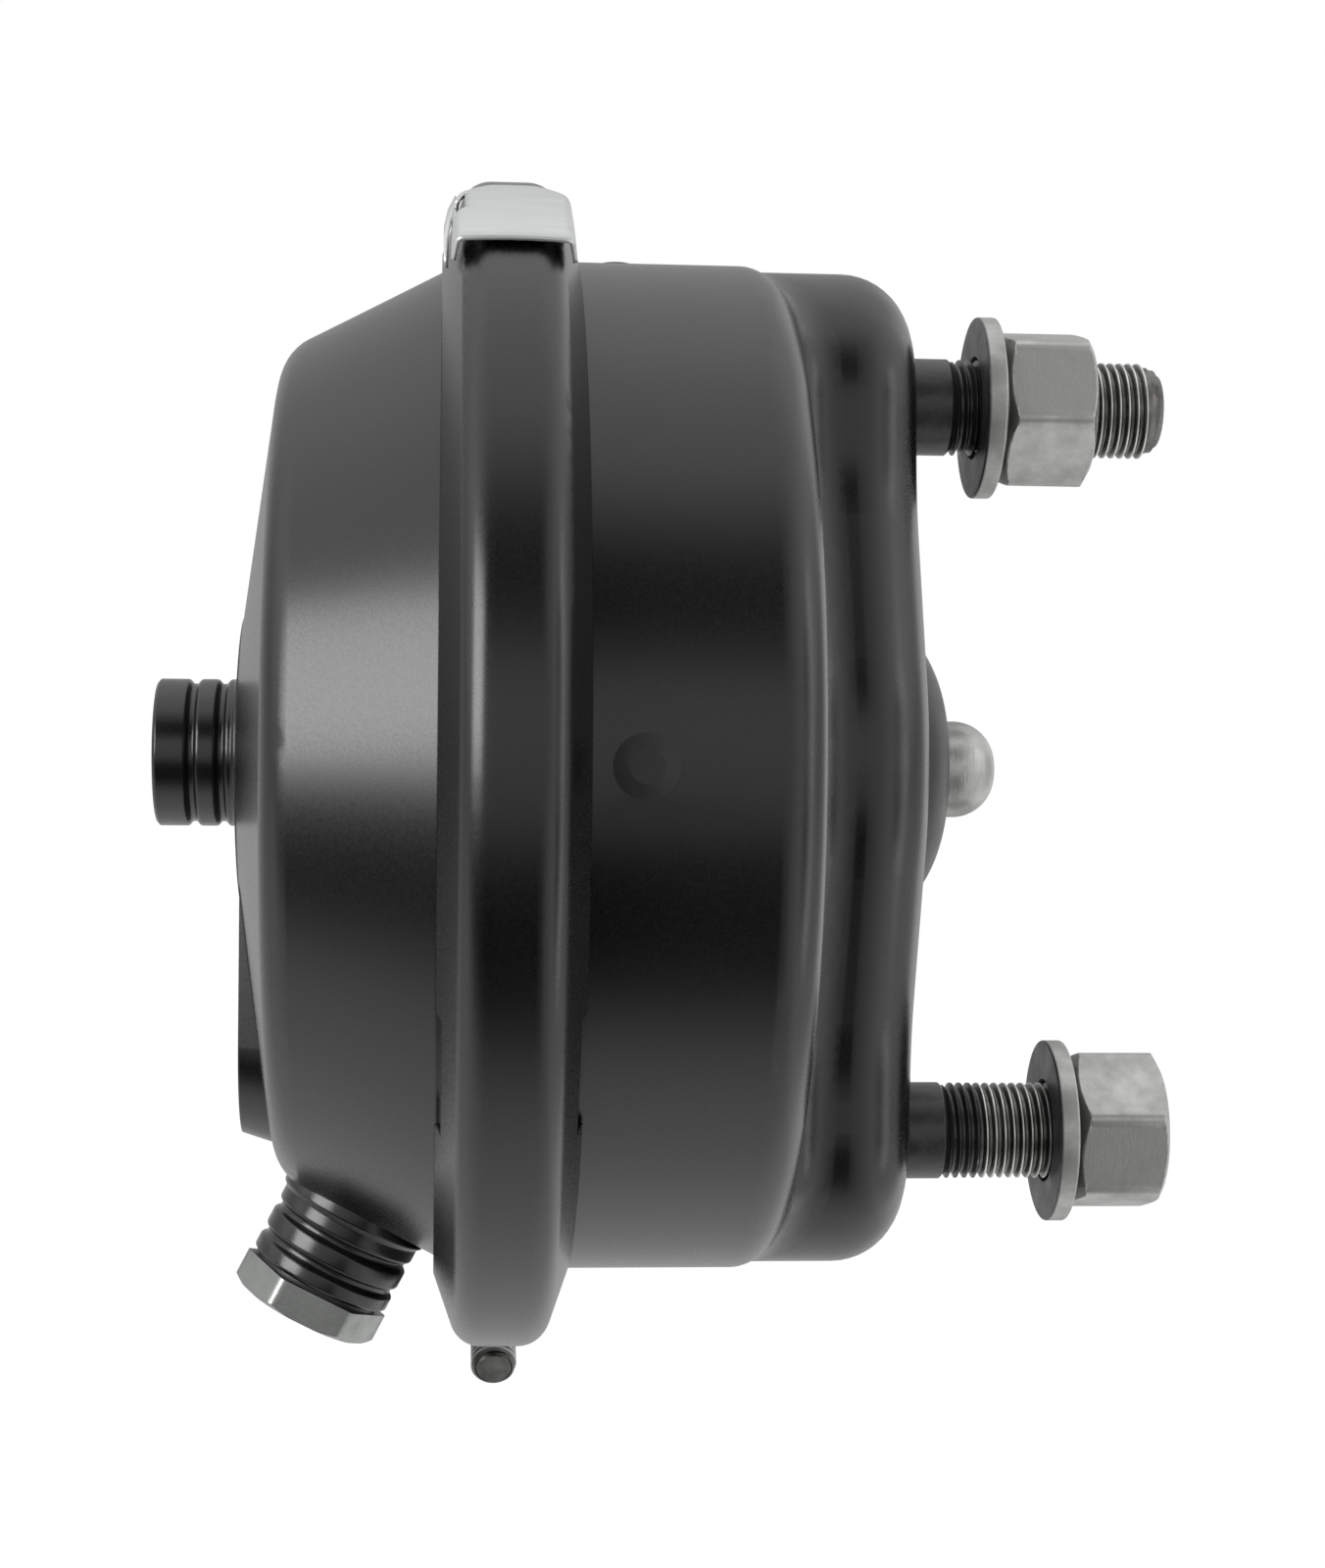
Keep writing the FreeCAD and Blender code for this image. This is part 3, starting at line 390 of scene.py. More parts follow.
def spread(tree, source, low, high, to_low, to_high):
    """Number mapped from one range to another, held at its ends."""
    node = add(tree, "ShaderNodeMapRange")
    tree.links.new(source, node.inputs["Value"])
    node.inputs["From Min"].default_value = low
    node.inputs["From Max"].default_value = high
    node.inputs["To Min"].default_value = to_low
    node.inputs["To Max"].default_value = to_high
    return node.outputs["Result"]


def bump(tree, height, strength, distance, under=None):
    """Normal with the relief of a height, over the normal under it."""
    node = add(tree, "ShaderNodeBump", strength=strength, distance=distance)
    tree.links.new(height, node.inputs["Height"])
    if under is not None:
        tree.links.new(under, node.inputs["Normal"])
    return node.outputs["Normal"]


def soft_edges(tree, radius):
    """Normal that rounds the sheet's cut edges."""
    node = add(tree, "ShaderNodeBevel", samples=6, radius=radius)
    return node.outputs["Normal"]


def paint_look(name, colour, roughness, grain, edge):
    """Dip-coat black: faint clouds in its tone, fine specks in its gloss and a fine grain."""
    look, tree, shader = new_look(name)
    place = object_place(tree)
    cloud = noise(tree, place, 38.0, 4.0, 0.55)
    darker = tuple(channel * 0.8 for channel in colour)
    lighter = tuple(channel * 1.3 for channel in colour)
    tree.links.new(ramp(tree, cloud, 0.35, 0.68, darker, lighter), shader.inputs["Base Color"])
    speck = noise(tree, place, 2200.0, 3.0, 0.6)
    gloss = spread(tree, speck, 0.3, 0.7, roughness - 0.02, roughness + 0.04)
    tree.links.new(gloss, shader.inputs["Roughness"])
    fine = bump(tree, speck, grain, 0.00005, soft_edges(tree, edge))
    coarse = bump(tree, noise(tree, place, 520.0, 2.0, 0.5), grain * 0.3, 0.0002, fine)
    tree.links.new(coarse, shader.inputs["Normal"])
    return look


def steel_look(name, colour, roughness, lines):
    """Bare or plated steel: mottled grain and fine turning lines across the axis."""
    look, tree, shader = new_look(name)
    shader.inputs["Metallic"].default_value = 1.0
    place = object_place(tree)
    cloud = noise(tree, place, 160.0, 5.0, 0.62)
    darker = tuple(channel * 0.72 for channel in colour)
    tree.links.new(ramp(tree, cloud, 0.32, 0.66, darker, colour), shader.inputs["Base Color"])
    stretch = add(tree, "ShaderNodeMapping")
    stretch.inputs["Scale"].default_value = (1.0, 0.04, 0.04)
    tree.links.new(place, stretch.inputs["Vector"])
    turning = noise(tree, stretch.outputs["Vector"], 4200.0, 2.0, 0.6)
    gloss = spread(tree, cloud, 0.3, 0.7, roughness + 0.1, roughness - 0.06)
    tree.links.new(gloss, shader.inputs["Roughness"])
    grain = bump(tree, noise(tree, place, 1500.0, 3.0, 0.6), 0.25, 0.0001)
    tree.links.new(bump(tree, turning, lines, 0.0001, grain), shader.inputs["Normal"])
    return look


def crest_highlight_share(tree, place, turn, move, across, crest_r):
    """Share for a painted highlight on a thread: 1 on its crests and 0 in its grooves, which take painted
    shade, by the distance to its line.
    """
    moved = add(tree, "ShaderNodeMapping")
    tree.links.new(place, moved.inputs["Vector"])
    moved.inputs["Rotation"].default_value = turn
    moved.inputs["Location"].default_value = move
    flat = add(tree, "ShaderNodeVectorMath", operation="MULTIPLY")
    tree.links.new(moved.outputs["Vector"], flat.inputs[0])
    flat.inputs[1].default_value = across
    radius = add(tree, "ShaderNodeVectorMath", operation="LENGTH")
    tree.links.new(flat.outputs["Vector"], radius.inputs[0])
    return spread(tree, radius.outputs["Value"], crest_r - 0.30 * MM, crest_r - 0.04 * MM, 0.0, 1.0)


def blend_colours(tree, share, low, high):
    """Colour low where share is 0 and high where it is 1; each is a tuple or an output."""
    mixed = add(tree, "ShaderNodeMix", data_type="RGBA")
    tree.links.new(share, mixed.inputs["Factor"])
    for number, colour in ((6, low), (7, high)):
        if isinstance(colour, tuple):
            mixed.inputs[number].default_value = colour + (1,)
        else:
            tree.links.new(colour, mixed.inputs[number])
    return mixed.outputs[2]


def bolt_look():
    """Dark zinc with a painted highlight on the thread crests and painted shade on the flanks."""
    look, tree, shader = new_look("bolt_zinc")
    shader.inputs["Metallic"].default_value = 1.0
    place = object_place(tree)
    cloud = noise(tree, place, 300.0, 4.0, 0.6)
    # Painted shade on the thread flanks and a painted highlight on the crests, by the distance to the bolt's
    # line.
    shade_on_flanks = ramp(tree, cloud, 0.32, 0.68, (0.07, 0.07, 0.068), (0.13, 0.13, 0.125))
    turn = (-SPLIT_ANGLE, 0, 0)
    highlight_on_crests = crest_highlight_share(tree, place, turn, (-BAND_X, 0, BOLT_CENTRE_R), (1, 0, 1), M8_CREST)
    colour = blend_colours(tree, highlight_on_crests, shade_on_flanks, (0.34, 0.34, 0.33))
    tree.links.new(colour, shader.inputs["Base Color"])
    tree.links.new(spread(tree, cloud, 0.3, 0.7, 0.44, 0.34), shader.inputs["Roughness"])
    tree.links.new(bump(tree, noise(tree, place, 1500.0, 3.0, 0.6), 0.3, 0.0001), shader.inputs["Normal"])
    return look


def washer_look(name):
    """Zinc with stray black paint on the washer's rear face."""
    rear_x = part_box(name)[0].x
    look, tree, shader = new_look(name + "_zinc")
    place = object_place(tree)
    ends = tree.nodes.new("ShaderNodeSeparateXYZ")
    tree.links.new(place, ends.inputs["Vector"])
    bare = spread(tree, ends.outputs["X"], rear_x + 0.2 * MM, rear_x + 0.5 * MM, 0.0, 1.0)
    cloud = noise(tree, place, 200.0, 5.0, 0.62)
    steel = ramp(tree, cloud, 0.32, 0.66, (0.27, 0.27, 0.26), (0.38, 0.38, 0.37))
    painted = ramp(tree, cloud, 0.40, 0.70, (0.016, 0.016, 0.016), (0.045, 0.045, 0.045))
    tree.links.new(blend_colours(tree, bare, painted, steel), shader.inputs["Base Color"])
    tree.links.new(bare, shader.inputs["Metallic"])
    tree.links.new(spread(tree, cloud, 0.3, 0.7, 0.50, 0.38), shader.inputs["Roughness"])
    tree.links.new(bump(tree, noise(tree, place, 1500.0, 3.0, 0.6), 0.25, 0.0001), shader.inputs["Normal"])
    return look


def stud_look():
    """Stud steel, black with overspray near the mounting face and bare beyond it, where its thread has
    painted shade on the flanks and a painted highlight on the crests.
    """
    look, tree, shader = new_look("stud_steel")
    place = object_place(tree)
    ends = tree.nodes.new("ShaderNodeSeparateXYZ")
    tree.links.new(place, ends.inputs["Vector"])
    ragged = add(tree, "ShaderNodeMath", operation="MULTIPLY_ADD")
    tree.links.new(noise(tree, place, 700.0, 3.0, 0.6), ragged.inputs[0])
    ragged.inputs[1].default_value = 1.6 * MM
    tree.links.new(ends.outputs["X"], ragged.inputs[2])
    bare = spread(tree, ragged.outputs["Value"], PAINT_END_X + 0.4 * MM, PAINT_END_X + 1.2 * MM, 0.0, 1.0)
    cloud = noise(tree, place, 260.0, 5.0, 0.6)
    # Painted shade on the bare thread's flanks and a painted highlight on its crests.
    shade_on_flanks = ramp(tree, cloud, 0.32, 0.68, (0.09, 0.088, 0.085), (0.20, 0.197, 0.19))
    both = add(tree, "ShaderNodeVectorMath", operation="ABSOLUTE")
    tree.links.new(place, both.inputs[0])
    highlight_on_crests = crest_highlight_share(tree, both.outputs["Vector"], (0, 0, 0), (0, 0, -STUD_Z), (0, 1, 1), M16_CREST)
    steel = blend_colours(tree, highlight_on_crests, shade_on_flanks, (0.60, 0.60, 0.58))
    tree.links.new(blend_colours(tree, bare, (0.012, 0.012, 0.012), steel), shader.inputs["Base Color"])
    tree.links.new(bare, shader.inputs["Metallic"])
    tree.links.new(spread(tree, bare, 0.0, 1.0, 0.34, 0.42), shader.inputs["Roughness"])
    lumps = bump(tree, noise(tree, place, 240.0, 2.0, 0.5), 0.35, 0.0006)
    grain = bump(tree, noise(tree, place, 1800.0, 3.0, 0.6), 0.3, 0.0001, lumps)
    tree.links.new(grain, shader.inputs["Normal"])
    return look


def rubber_look(name, colour, roughness):
    """Moulded rubber with faint clouds in its tone and its gloss."""
    look, tree, shader = new_look(name)
    place = object_place(tree)
    cloud = noise(tree, place, 90.0, 4.0, 0.6)
    darker = tuple(channel * 0.7 for channel in colour)
    tree.links.new(ramp(tree, cloud, 0.3, 0.7, darker, colour), shader.inputs["Base Color"])
    gloss = spread(tree, cloud, 0.3, 0.7, roughness - 0.06, roughness + 0.06)
    tree.links.new(gloss, shader.inputs["Roughness"])
    shader.inputs["Specular IOR Level"].default_value = 0.35
    tree.links.new(bump(tree, noise(tree, place, 2400.0, 2.0, 0.5), 0.2, 0.0001), shader.inputs["Normal"])
    return look


def label_look():
    """Bright rolled aluminium with fine lines along the strip."""
    look, tree, shader = new_look("label_metal")
    shader.inputs["Metallic"].default_value = 0.85
    place = object_place(tree)
    stretch = add(tree, "ShaderNodeMapping")
    stretch.inputs["Scale"].default_value = (0.03, 1.0, 1.0)
    tree.links.new(place, stretch.inputs["Vector"])
    lines = noise(tree, stretch.outputs["Vector"], 2600.0, 2.0, 0.5)
    tone = ramp(tree, lines, 0.2, 0.8, (0.46, 0.47, 0.475), (0.58, 0.585, 0.585))
    tree.links.new(tone, shader.inputs["Base Color"])
    tree.links.new(spread(tree, lines, 0.3, 0.7, 0.36, 0.46), shader.inputs["Roughness"])
    tree.links.new(bump(tree, lines, 0.12, 0.0001, soft_edges(tree, 0.0003)), shader.inputs["Normal"])
    return look


SHELL_PAINT = paint_look("shell_paint", (0.0014, 0.0014, 0.0014), 0.27, 0.035, 0.0006)
BOSS_PAINT = paint_look("boss_paint", (0.004, 0.004, 0.004), 0.22, 0.18, 0.0004)
ZINC = steel_look("zinc_steel", (0.42, 0.42, 0.41), 0.42, 0.18)
PLUG_ZINC = steel_look("plug_zinc", (0.31, 0.32, 0.31), 0.38, 0.08)
STUD_STEEL = stud_look()
BOLT_ZINC = bolt_look()
DARK_ZINC = steel_look("dark_zinc", (0.20, 0.195, 0.185), 0.42, 0.15)
ROD_STEEL = steel_look("rod_steel", (0.40, 0.40, 0.385), 0.40, 0.5)
INNER_STEEL = steel_look("inner_steel", (0.30, 0.30, 0.29), 0.45, 0.2)
SPRING_STEEL = steel_look("spring_steel", (0.10, 0.10, 0.10), 0.45, 0.1)
LABEL = label_look()
PLUG_RUBBER = rubber_look("plug_rubber", (0.012, 0.012, 0.012), 0.5)
SEAL_RUBBER = rubber_look("seal_rubber", (0.010, 0.010, 0.010), 0.42)
DIAPHRAGM_RUBBER = rubber_look("diaphragm_rubber", (0.016, 0.016, 0.015), 0.6)


def dress_solids():
    """Gives every node of the solids its material, also those that a piece stands for."""
    looks = {"pressure_cap": SHELL_PAINT, "housing": SHELL_PAINT, "clamp_band": SHELL_PAINT,
             "port_boss_centre": BOSS_PAINT, "port_boss_inclined": BOSS_PAINT,
             "port_plug": ZINC, "plug_seal": SEAL_RUBBER, "clamp_bolt": DARK_ZINC,
             "clamp_nut": DARK_ZINC, "label_clip": LABEL, "stud_plate": INNER_STEEL,
             "drain_plug_top": PLUG_RUBBER, "drain_plug_near": PLUG_RUBBER,
             "drain_plug_far": PLUG_RUBBER, "stud_upper": STUD_STEEL, "stud_lower": STUD_STEEL,
             "washer_upper": ZINC, "washer_lower": ZINC, "nut_upper": ZINC, "nut_lower": ZINC,
             "diaphragm": DIAPHRAGM_RUBBER, "push_plate": INNER_STEEL, "push_rod": ROD_STEEL,
             "return_spring": SPRING_STEEL, "bellows": SEAL_RUBBER, "rod_seal": SEAL_RUBBER,
             "retainer_ring": INNER_STEEL}
    for node, look in looks.items():
        dress(node, look)


def place_stud(side):
    """Matrix from the axis to the upper stud's line (side 1) or the lower one's (side -1)."""
    return Matrix.Translation((0, 0, side * STUD_Z))


def make_stud(name, side):
    """Shank, rolled thread and dog end of one stud, with its head inside the platform."""
    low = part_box(name)[0].x
    core_r = M16_CREST - M16_DEPTH
    under_r = core_r - 0.1 * MM
    thread_end = STUD_END_X - DOG_LENGTH
    hollow_x = STUD_END_X - DOG_HOLLOW_DEEP
    core = turned([(low, 0, 0), (low, STUD_HEAD_R, EDGE), (STUD_HEAD_X, STUD_HEAD_R, EDGE),
                   (STUD_HEAD_X, STUD_NECK_R, 0), (-0.01 * MM, STUD_NECK_R, 0), (0.0, SHANK_R, 0),
                   (SHANK_END_X - 0.8 * MM, SHANK_R, 0.3 * MM), (SHANK_END_X + 0.2 * MM, under_r, 0),
                   (thread_end, under_r, 0), (thread_end, DOG_R, 0.2 * MM),
                   (STUD_END_X, DOG_R - 0.5 * MM, 0.5 * MM), (STUD_END_X, DOG_HOLLOW_R, 0.3 * MM),
                   (hollow_x, DOG_HOLLOW_R - 0.6 * MM, 0.2 * MM), (hollow_x, 0, 0)], closed=False)
    thread_start = SHANK_END_X - 0.6 * MM

    def limit(x):
        start_r = under_r + (x - thread_start) * 1.1
        end_r = DOG_R + STUD_END_X - 1.4 * MM - x
        return max(core_r - 0.15 * MM, min(M16_CREST, start_r, end_r))

    ridges = thread(thread_start, STUD_END_X - 1.0 * MM, M16_CREST, M16_DEPTH, M16_PITCH, limit)
    piece(name + "_threaded", [core, ridges], STUD_STEEL, "chamber", [name], place_stud(side))


def make_washer(name, side):
    """Washer that leaves room for the seat of its nut."""
    low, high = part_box(name)
    front = high.x - NUT_SEAT_T
    ring = turned([(low.x, WASHER_BORE_R, 0.25 * MM), (low.x, WASHER_R, 0.45 * MM),
                   (front, WASHER_R, 0.45 * MM), (front, WASHER_BORE_R, 0.25 * MM)])
    body = "upper_washer" if side > 0 else "lower_washer"
    piece(name + "_pressed", [ring], washer_look(name), body, [name], place_stud(side))


def make_nut(name, side, turn):
    """Hexagon nut with a round seat towards the washer, turned as in the photograph."""
    low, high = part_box(name)
    skin = hexagon_skin(NUT_FLATS, low.x, high.x, NUT_BORE_R, NUT_FACE_R)
    seat_x = low.x - NUT_SEAT_T
    inside_x = low.x + 0.2 * MM
    seat = turned([(seat_x, NUT_BORE_R, 0), (seat_x, NUT_SEAT_R, 0.15 * MM), (inside_x, NUT_SEAT_R, 0),
                   (inside_x, NUT_BORE_R, 0)])
    place = place_stud(side) @ Matrix.Rotation(turn + math.pi / 6, 4, "X")
    body = "upper_nut" if side > 0 else "lower_nut"
    piece(name + "_forged", [skin, seat], ZINC, body, [name], place, bevel=NUT_EDGE)


def bolt_line():
    """Matrix from the bolt's own line to its place on the band."""
    move = Matrix.Translation((BAND_X, 0, -BOLT_CENTRE_R)) @ Matrix.Rotation(-math.pi / 2, 4, "Z")
    return Matrix.Rotation(SPLIT_ANGLE, 4, "X") @ move


def make_clamp_bolt():
    """Clamp bolt with its head, shank and thread, and its nut."""
    core_r = M8_CREST - M8_DEPTH
    head = hexagon_skin(BOLT_FLATS, -BOLT_GRIP - BOLT_HEAD_H, -BOLT_GRIP, 0, BOLT_FACE_R, closed=False)
    shank_start = -BOLT_GRIP - 1 * MM
    shank_end = BOLT_GRIP - 4 * MM
    shank = turned([(shank_start, 0, 0), (shank_start, M8_CREST, 0), (shank_end, M8_CREST, 0),
                    (shank_end + 0.5 * MM, core_r, 0), (BOLT_TIP - 0.5 * MM, core_r - 0.05 * MM, 0),
                    (BOLT_TIP, core_r - 0.4 * MM, 0), (BOLT_TIP, 0, 0)], closed=False, segments=64)

    def limit(x):
        return max(core_r - 0.1 * MM, min(M8_CREST, core_r - 0.3 * MM + BOLT_TIP - x))

    ridges = thread(shank_end, BOLT_TIP - 0.3 * MM, M8_CREST, M8_DEPTH, M8_PITCH, limit, segments=64)
    piece("clamp_bolt_threaded", [head, shank, ridges], BOLT_ZINC, "chamber", ["clamp_bolt"],
          bolt_line())
    nut = hexagon_skin(BOLT_FLATS, BOLT_GRIP, BOLT_GRIP + BOLT_NUT_H, BOLT_NUT_BORE_R, BOLT_FACE_R)
    piece("clamp_nut_forged", [nut], DARK_ZINC, "chamber", ["clamp_nut"], bolt_line())


def clip_section():
    """Half section of the clip as (x, r) points, from its middle out and down the side."""
    foot = Vector((CLIP_FOOT_HALF, CLIP_FOOT_R))
    points = [Vector((CLIP_HALF * i / 12, CLIP_R - CLIP_CROWN * (i / 12) ** 2)) for i in range(9)]
    points += arc_points((CLIP_HALF * 0.7, CLIP_R - 0.12 * MM), (CLIP_HALF, CLIP_R - CLIP_CROWN), foot,
                         CLIP_FOLD_R, 8)
    fold_end = points[-1]
    for i in range(1, 9):
        points.append(fold_end.lerp(foot, i / 8))
    return points


def make_label_clip():
    """Thin plate folded over the band, with cut corners, a slot and a rolled lower edge."""
    half = clip_section()
    section = [Vector((-point.x, point.y)) for point in reversed(half)] + half[1:]
    rows = 48
    points = []
    faces = []
    for j in range(rows + 1):
        share = j / rows
        for point in section:
            out = max(0.0, abs(point.x) - CLIP_HALF * 0.35) / (CLIP_HALF * 0.65)
            high = CLIP_HIGH + (CLIP_SIDE_HIGH - CLIP_HIGH) * min(1.0, out) ** 1.4
            angle = CLIP_LOW + (high - CLIP_LOW) * share
            r = point.y + CLIP_LIP * max(0.0, 1 - share * 9) ** 2
            points.append((BAND_X + point.x, -r * math.cos(angle), r * math.sin(angle)))
    count = len(section)
    for j in range(rows):
        for i in range(count - 1):
            angle = CLIP_LOW + (CLIP_SIDE_HIGH - CLIP_LOW) * (j + 0.5) / rows
            on_fold = section[i].x < -CLIP_HALF * 0.86 and section[i].y > CLIP_FOOT_R + 1.6 * MM
            if on_fold and CLIP_SLOT_LOW < angle < CLIP_SLOT_HIGH:
                continue
            first = j * count + i
            faces.append((first, first + 1, first + count + 1, first + count))
    tail_points, tail_faces = clip_tail()
    clip = piece("label_clip_folded", [(points, faces), (tail_points, tail_faces)], LABEL, "chamber",
                 ["label_clip"], sharp=40)
    sheet = clip.modifiers.new("sheet", "SOLIDIFY")
    sheet.thickness = CLIP_T
    sheet.offset = -1.0


def clip_tail():
    """Tongue of the clip that is bent down past the left skirt of the band."""
    line = [(-CLIP_HALF * 1.02, 93.4 * MM, 64.2), (-CLIP_FOOT_HALF * 1.06, 92.2 * MM, 61.5),
            (-CLIP_TAIL_HALF, 91.0 * MM, 58.4), (-CLIP_TAIL_HALF, 89.6 * MM, 56.6),
            (-CLIP_TAIL_HALF, 88.2 * MM, 55.6)]
    points = []
    faces = []
    for x, r, degrees in line:
        for wide in (0.0, CLIP_TAIL_WIDE):
            angle = math.radians(degrees + wide)
            points.append((BAND_X + x, -r * math.cos(angle), r * math.sin(angle)))
    for i in range(len(line) - 1):
        faces.append((2 * i, 2 * i + 1, 2 * i + 3, 2 * i + 2))
    return points, faces


def ringed_boss(length, groove):
    """Skin of a port boss along -X from its foot, with soft rings and a chamfered mouth."""
    deep_r = PORT_R - PORT_GROOVE
    outline = [(PORT_SUNK, PORT_BORE_R, 0), (PORT_SUNK, PORT_COLLAR_R, 0),
               (-0.9 * MM, PORT_COLLAR_R, 0.8 * MM), (-1.5 * MM, PORT_R, 0.4 * MM)]
    for back in (groove + GROOVE_STEP, groove):
        middle = back - length
        outline += [(middle + 1.0 * MM, PORT_R, 0.7 * MM), (middle + 0.35 * MM, deep_r, 0.3 * MM),
                    (middle - 0.35 * MM, deep_r, 0.3 * MM), (middle - 1.0 * MM, PORT_R, 0.7 * MM)]
    outline += [(0.5 * MM - length, PORT_R, 0.3 * MM), (-length, PORT_R - 0.6 * MM, 0.2 * MM),
                (-length, PORT_BORE_R + BORE_CHAMFER, 0.2 * MM), (BORE_CHAMFER - length, PORT_BORE_R, 0)]
    return turned(outline)


def inclined_line():
    """Matrix from the inclined boss's own line, outwards along -X, to its place on the cone."""
    turn = Matrix.Rotation(CONE_ANGLE - math.pi / 2, 4, "Y")
    return Matrix.Translation((BAND_X - INCLINED_BACK, 0, -INCLINED_FOOT_R)) @ turn


def make_ports():
    """Both bosses and the plug of the inclined one."""
    inclined = ringed_boss(INCLINED_LENGTH, INCLINED_GROOVE)
    piece("port_boss_inclined_turned", [inclined], BOSS_PAINT, "chamber",
          ["port_boss_inclined"], inclined_line())
    centre = ringed_boss(CAP_END_X - PORT_END_X, CENTRE_GROOVE)
    piece("port_boss_centre_turned", [centre], BOSS_PAINT, "chamber", ["port_boss_centre"],
          Matrix.Translation((CAP_END_X, 0, PORT_Z)))
    under = INCLINED_LENGTH + SEAL_T
    head = hexagon_skin(PLUG_FLATS, under, under + PLUG_H, 0, PLUG_FACE_R, both_ends=False, closed=False)
    outwards = Matrix.Rotation(math.pi, 4, "Z")
    place = inclined_line() @ Matrix.Rotation(PLUG_TURN + math.pi / 6, 4, "X") @ outwards
    piece("port_plug_forged", [head], PLUG_ZINC, "chamber", ["port_plug"], place,
          bevel=0.2 * MM)


def make_port_thread():
    """Thread in the bore of the centre port."""
    inner = PORT_END_X + PORT_THREAD_LENGTH
    mouth = PORT_END_X + BORE_CHAMFER

    def limit(x):
        return max(PORT_BORE_R - 0.02 * MM, PORT_BORE_R + mouth - x)

    ridges = thread(PORT_END_X + 0.2 * MM, inner, PORT_BORE_R + PORT_THREAD_DEPTH, PORT_THREAD_DEPTH,
                    M16_PITCH, limit, inward=True)
    piece("port_thread_cut", [ridges], BOSS_PAINT, "chamber",
          place=Matrix.Translation((0, 0, PORT_Z)))


def make_soft(name, node, look):
    """Copy of an inner solid with its own material, in place of the hidden node."""
    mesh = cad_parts[node].data.copy()
    made = bpy.data.objects.new(name, mesh)
    bpy.context.scene.collection.objects.link(made)
    mesh.materials.clear()
    mesh.materials.append(look)
    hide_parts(node)
    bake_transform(made)


def light(name, place, target, width, height, power):
    """Soft rectangular lamp that faces its target."""
    lamp = bpy.data.lights.new(name, "AREA")
    lamp.shape = "RECTANGLE"
    lamp.size = width
    lamp.size_y = height
    lamp.energy = power
    made = bpy.data.objects.new(name, lamp)
    made.location = place
    made.rotation_euler = (Vector(target) - Vector(place)).to_track_quat("-Z", "Y").to_euler()
    bpy.context.scene.collection.objects.link(made)


def make_camera():
    """Camera at the place, turn and lens that the photograph gives."""
    camera = bpy.data.cameras.new("camera")
    camera.lens = CAMERA_LENS
    camera.sensor_width = 36
    made = bpy.data.objects.new("camera", camera)
    bpy.context.scene.collection.objects.link(made)
    ahead = Vector((math.sin(CAMERA_YAW), math.cos(CAMERA_YAW), math.tan(CAMERA_PITCH)))
    turn = ahead.to_track_quat("-Z", "Y").to_matrix().to_4x4()
    made.matrix_world = Matrix.Translation(CAMERA_PLACE) @ turn @ Matrix.Rotation(CAMERA_ROLL, 4, "Z")
    bpy.context.scene.camera = made


def fill_stops(tree, share, levels):
    """Grey ramp over a share of 0 to 1 from (place, level) pairs."""
    steps = tree.nodes.new("ShaderNodeValToRGB")
    tree.links.new(share, steps.inputs["Fac"])
    stops = steps.color_ramp.elements
    for number, (place, level) in enumerate(levels):
        stop = stops[number] if number < 2 else stops.new(1.0)
        stop.position = place
        stop.color = (level / STUDIO_PEAK, level / STUDIO_PEAK, level / STUDIO_PEAK, 1)
    return steps.outputs["Color"]


def make_world():
    """Studio whose brightness depends on the angle round the chamber's axis and on +X."""
    world = bpy.data.worlds.new("studio")
    bpy.context.scene.world = world
    world.use_nodes = True
    tree = world.node_tree
    background = tree.nodes["Background"]
    direction = add(tree, "ShaderNodeTexCoord").outputs["Generated"]
    parts = tree.nodes.new("ShaderNodeSeparateXYZ")
    tree.links.new(direction, parts.inputs["Vector"])
    front = add(tree, "ShaderNodeMath", operation="MULTIPLY")
    tree.links.new(parts.outputs["Y"], front.inputs[0])
    front.inputs[1].default_value = -1.0
    angle = add(tree, "ShaderNodeMath", operation="ARCTAN2")
    tree.links.new(parts.outputs["Z"], angle.inputs[0])
    tree.links.new(front.outputs["Value"], angle.inputs[1])
    share = spread(tree, angle.outputs["Value"], -math.pi, math.pi, 0.0, 1.0)
    round_axis = fill_stops(tree, share, [((degrees + 180) / 360, level) for degrees, level in STUDIO_LEVELS])
    along = spread(tree, parts.outputs["X"], -1.0, 1.0, 0.0, 1.0)
    beside = fill_stops(tree, along, [((toward_x + 1) / 2, level) for toward_x, level in STUDIO_SIDES])
    brighter = add(tree, "ShaderNodeMath", operation="MAXIMUM")
    tree.links.new(round_axis, brighter.inputs[0])
    tree.links.new(beside, brighter.inputs[1])
    studio = add(tree, "ShaderNodeMath", operation="MULTIPLY")
    tree.links.new(brighter.outputs["Value"], studio.inputs[0])
    studio.inputs[1].default_value = STUDIO_PEAK
    rays = tree.nodes.new("ShaderNodeLightPath")
    seen = add(tree, "ShaderNodeMath", operation="MAXIMUM")
    tree.links.new(rays.outputs["Is Camera Ray"], seen.inputs[0])
    tree.links.new(rays.outputs["Is Transmission Ray"], seen.inputs[1])
    strength = add(tree, "ShaderNodeMix", data_type="FLOAT")
    tree.links.new(seen.outputs["Value"], strength.inputs["Factor"])
    tree.links.new(studio.outputs["Value"], strength.inputs[2])
    strength.inputs[3].default_value = 1.0
    tree.links.new(strength.outputs[0], background.inputs["Strength"])
    background.inputs["Color"].default_value = (1, 1, 1, 1)


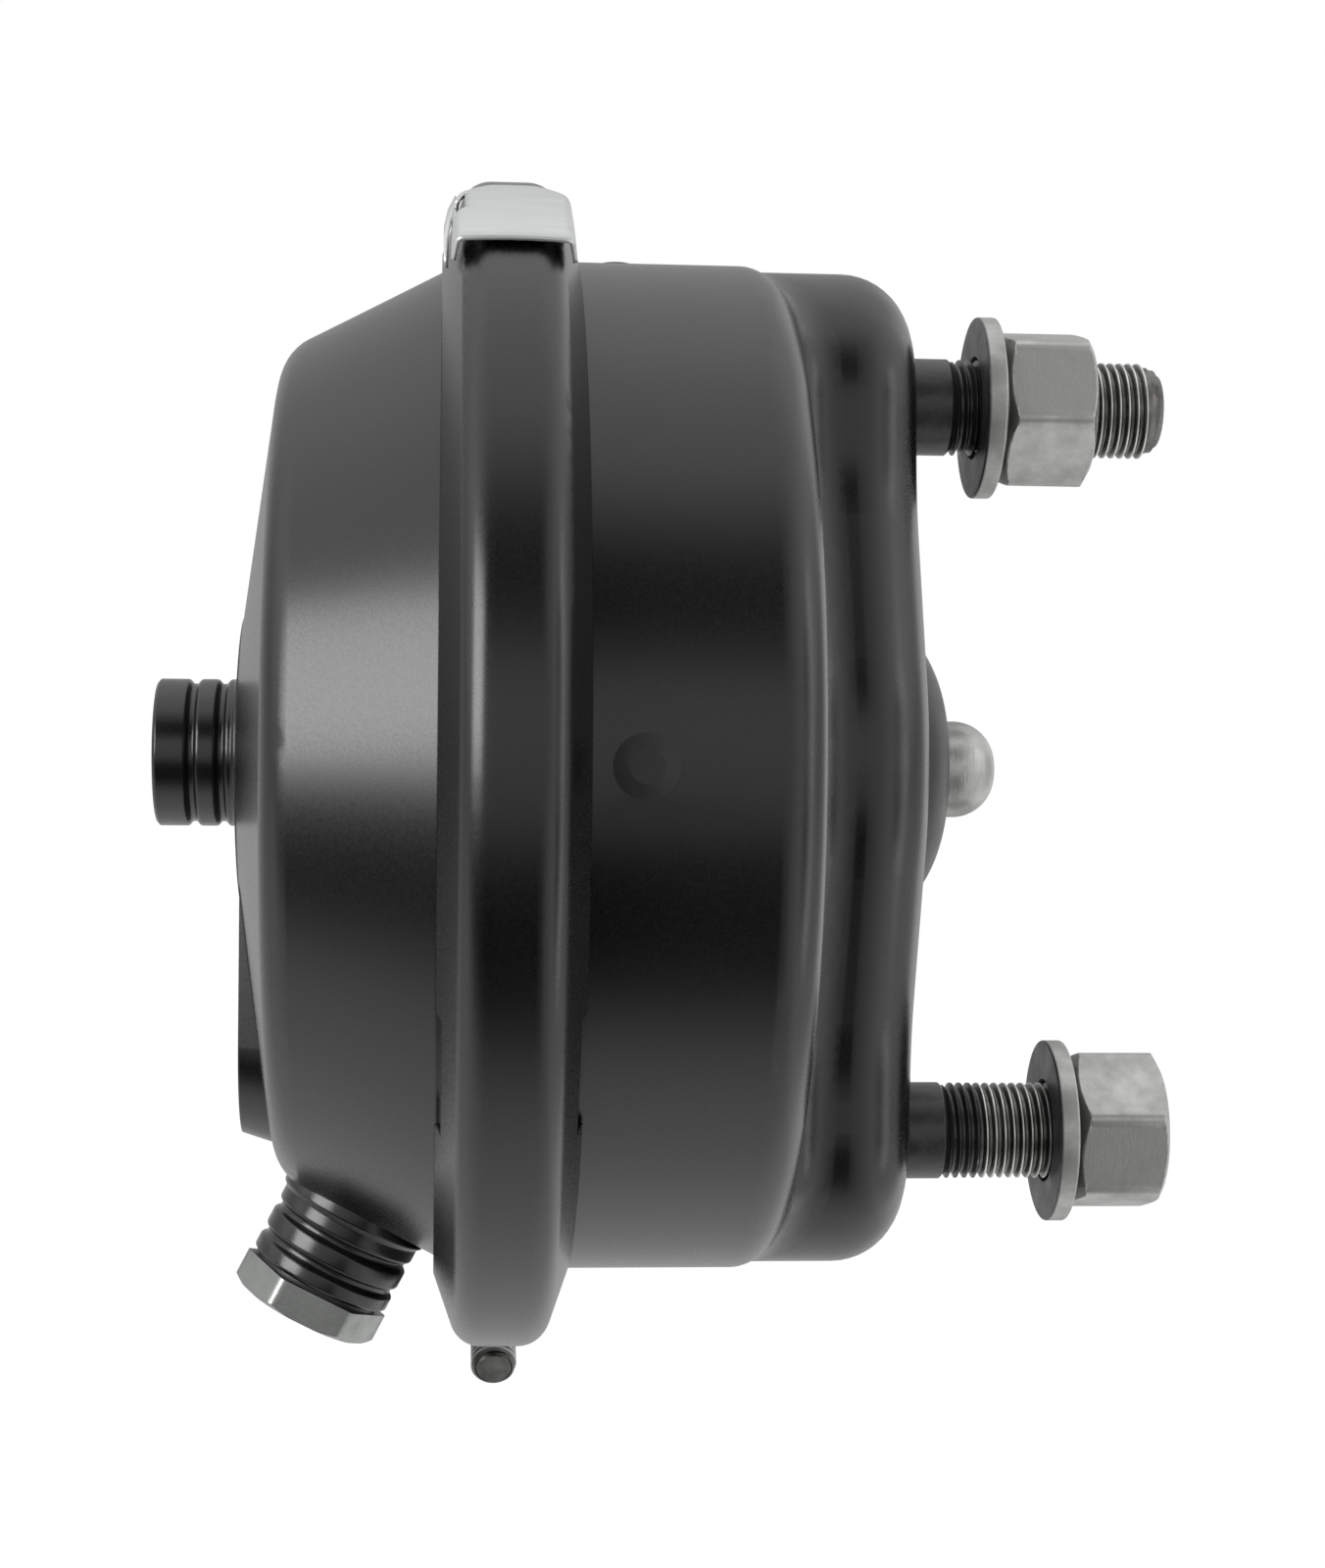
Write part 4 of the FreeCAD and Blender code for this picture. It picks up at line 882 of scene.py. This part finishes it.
def make_floor():
    """Pale floor under the part, which keeps a faint shadow and shows in no reflection."""
    mesh = bpy.data.meshes.new("floor")
    mesh.from_pydata([(-FLOOR_REACH, -FLOOR_REACH, FLOOR_Z), (FLOOR_REACH, -FLOOR_REACH, FLOOR_Z),
                      (FLOOR_REACH, FLOOR_REACH, FLOOR_Z), (-FLOOR_REACH, FLOOR_REACH, FLOOR_Z)],
                     [], [(0, 1, 2, 3)])
    floor = bpy.data.objects.new("floor", mesh)
    bpy.context.scene.collection.objects.link(floor)
    look, tree, shader = new_look("floor_white")
    shader.inputs["Base Color"].default_value = (0.9, 0.9, 0.9, 1)
    shader.inputs["Roughness"].default_value = 0.8
    shader.inputs["Specular IOR Level"].default_value = 0.1
    rays = tree.nodes.new("ShaderNodeLightPath")
    glow = add(tree, "ShaderNodeEmission")
    glow.inputs["Strength"].default_value = FLOOR_GLOW
    seen = spread(tree, rays.outputs["Is Camera Ray"], 0.0, 1.0, 0.0, 0.95)
    lit = tree.nodes.new("ShaderNodeMixShader")
    tree.links.new(seen, lit.inputs["Fac"])
    tree.links.new(shader.outputs["BSDF"], lit.inputs[1])
    tree.links.new(glow.outputs["Emission"], lit.inputs[2])
    clear = tree.nodes.new("ShaderNodeBsdfTransparent")
    mixed = tree.nodes.new("ShaderNodeMixShader")
    tree.links.new(rays.outputs["Is Glossy Ray"], mixed.inputs["Fac"])
    tree.links.new(lit.outputs["Shader"], mixed.inputs[1])
    tree.links.new(clear.outputs["BSDF"], mixed.inputs[2])
    tree.links.new(mixed.outputs["Shader"], tree.nodes["Material Output"].inputs["Surface"])
    mesh.materials.append(look)


dress_solids()
make_stud("stud_upper", 1)
make_stud("stud_lower", -1)
make_washer("washer_upper", 1)
make_washer("washer_lower", -1)
make_nut("nut_upper", 1, UPPER_NUT_TURN)
make_nut("nut_lower", -1, LOWER_NUT_TURN)
make_clamp_bolt()
make_label_clip()
make_ports()
make_port_thread()
make_soft("diaphragm_moulded", "diaphragm", DIAPHRAGM_RUBBER)
make_soft("return_spring_wound", "return_spring", SPRING_STEEL)
make_soft("bellows_moulded", "bellows", SEAL_RUBBER)
make_camera()
make_world()
make_floor()
for lamp_values in LAMPS:
    light(*lamp_values)
bpy.context.scene.view_settings.view_transform = "Standard"
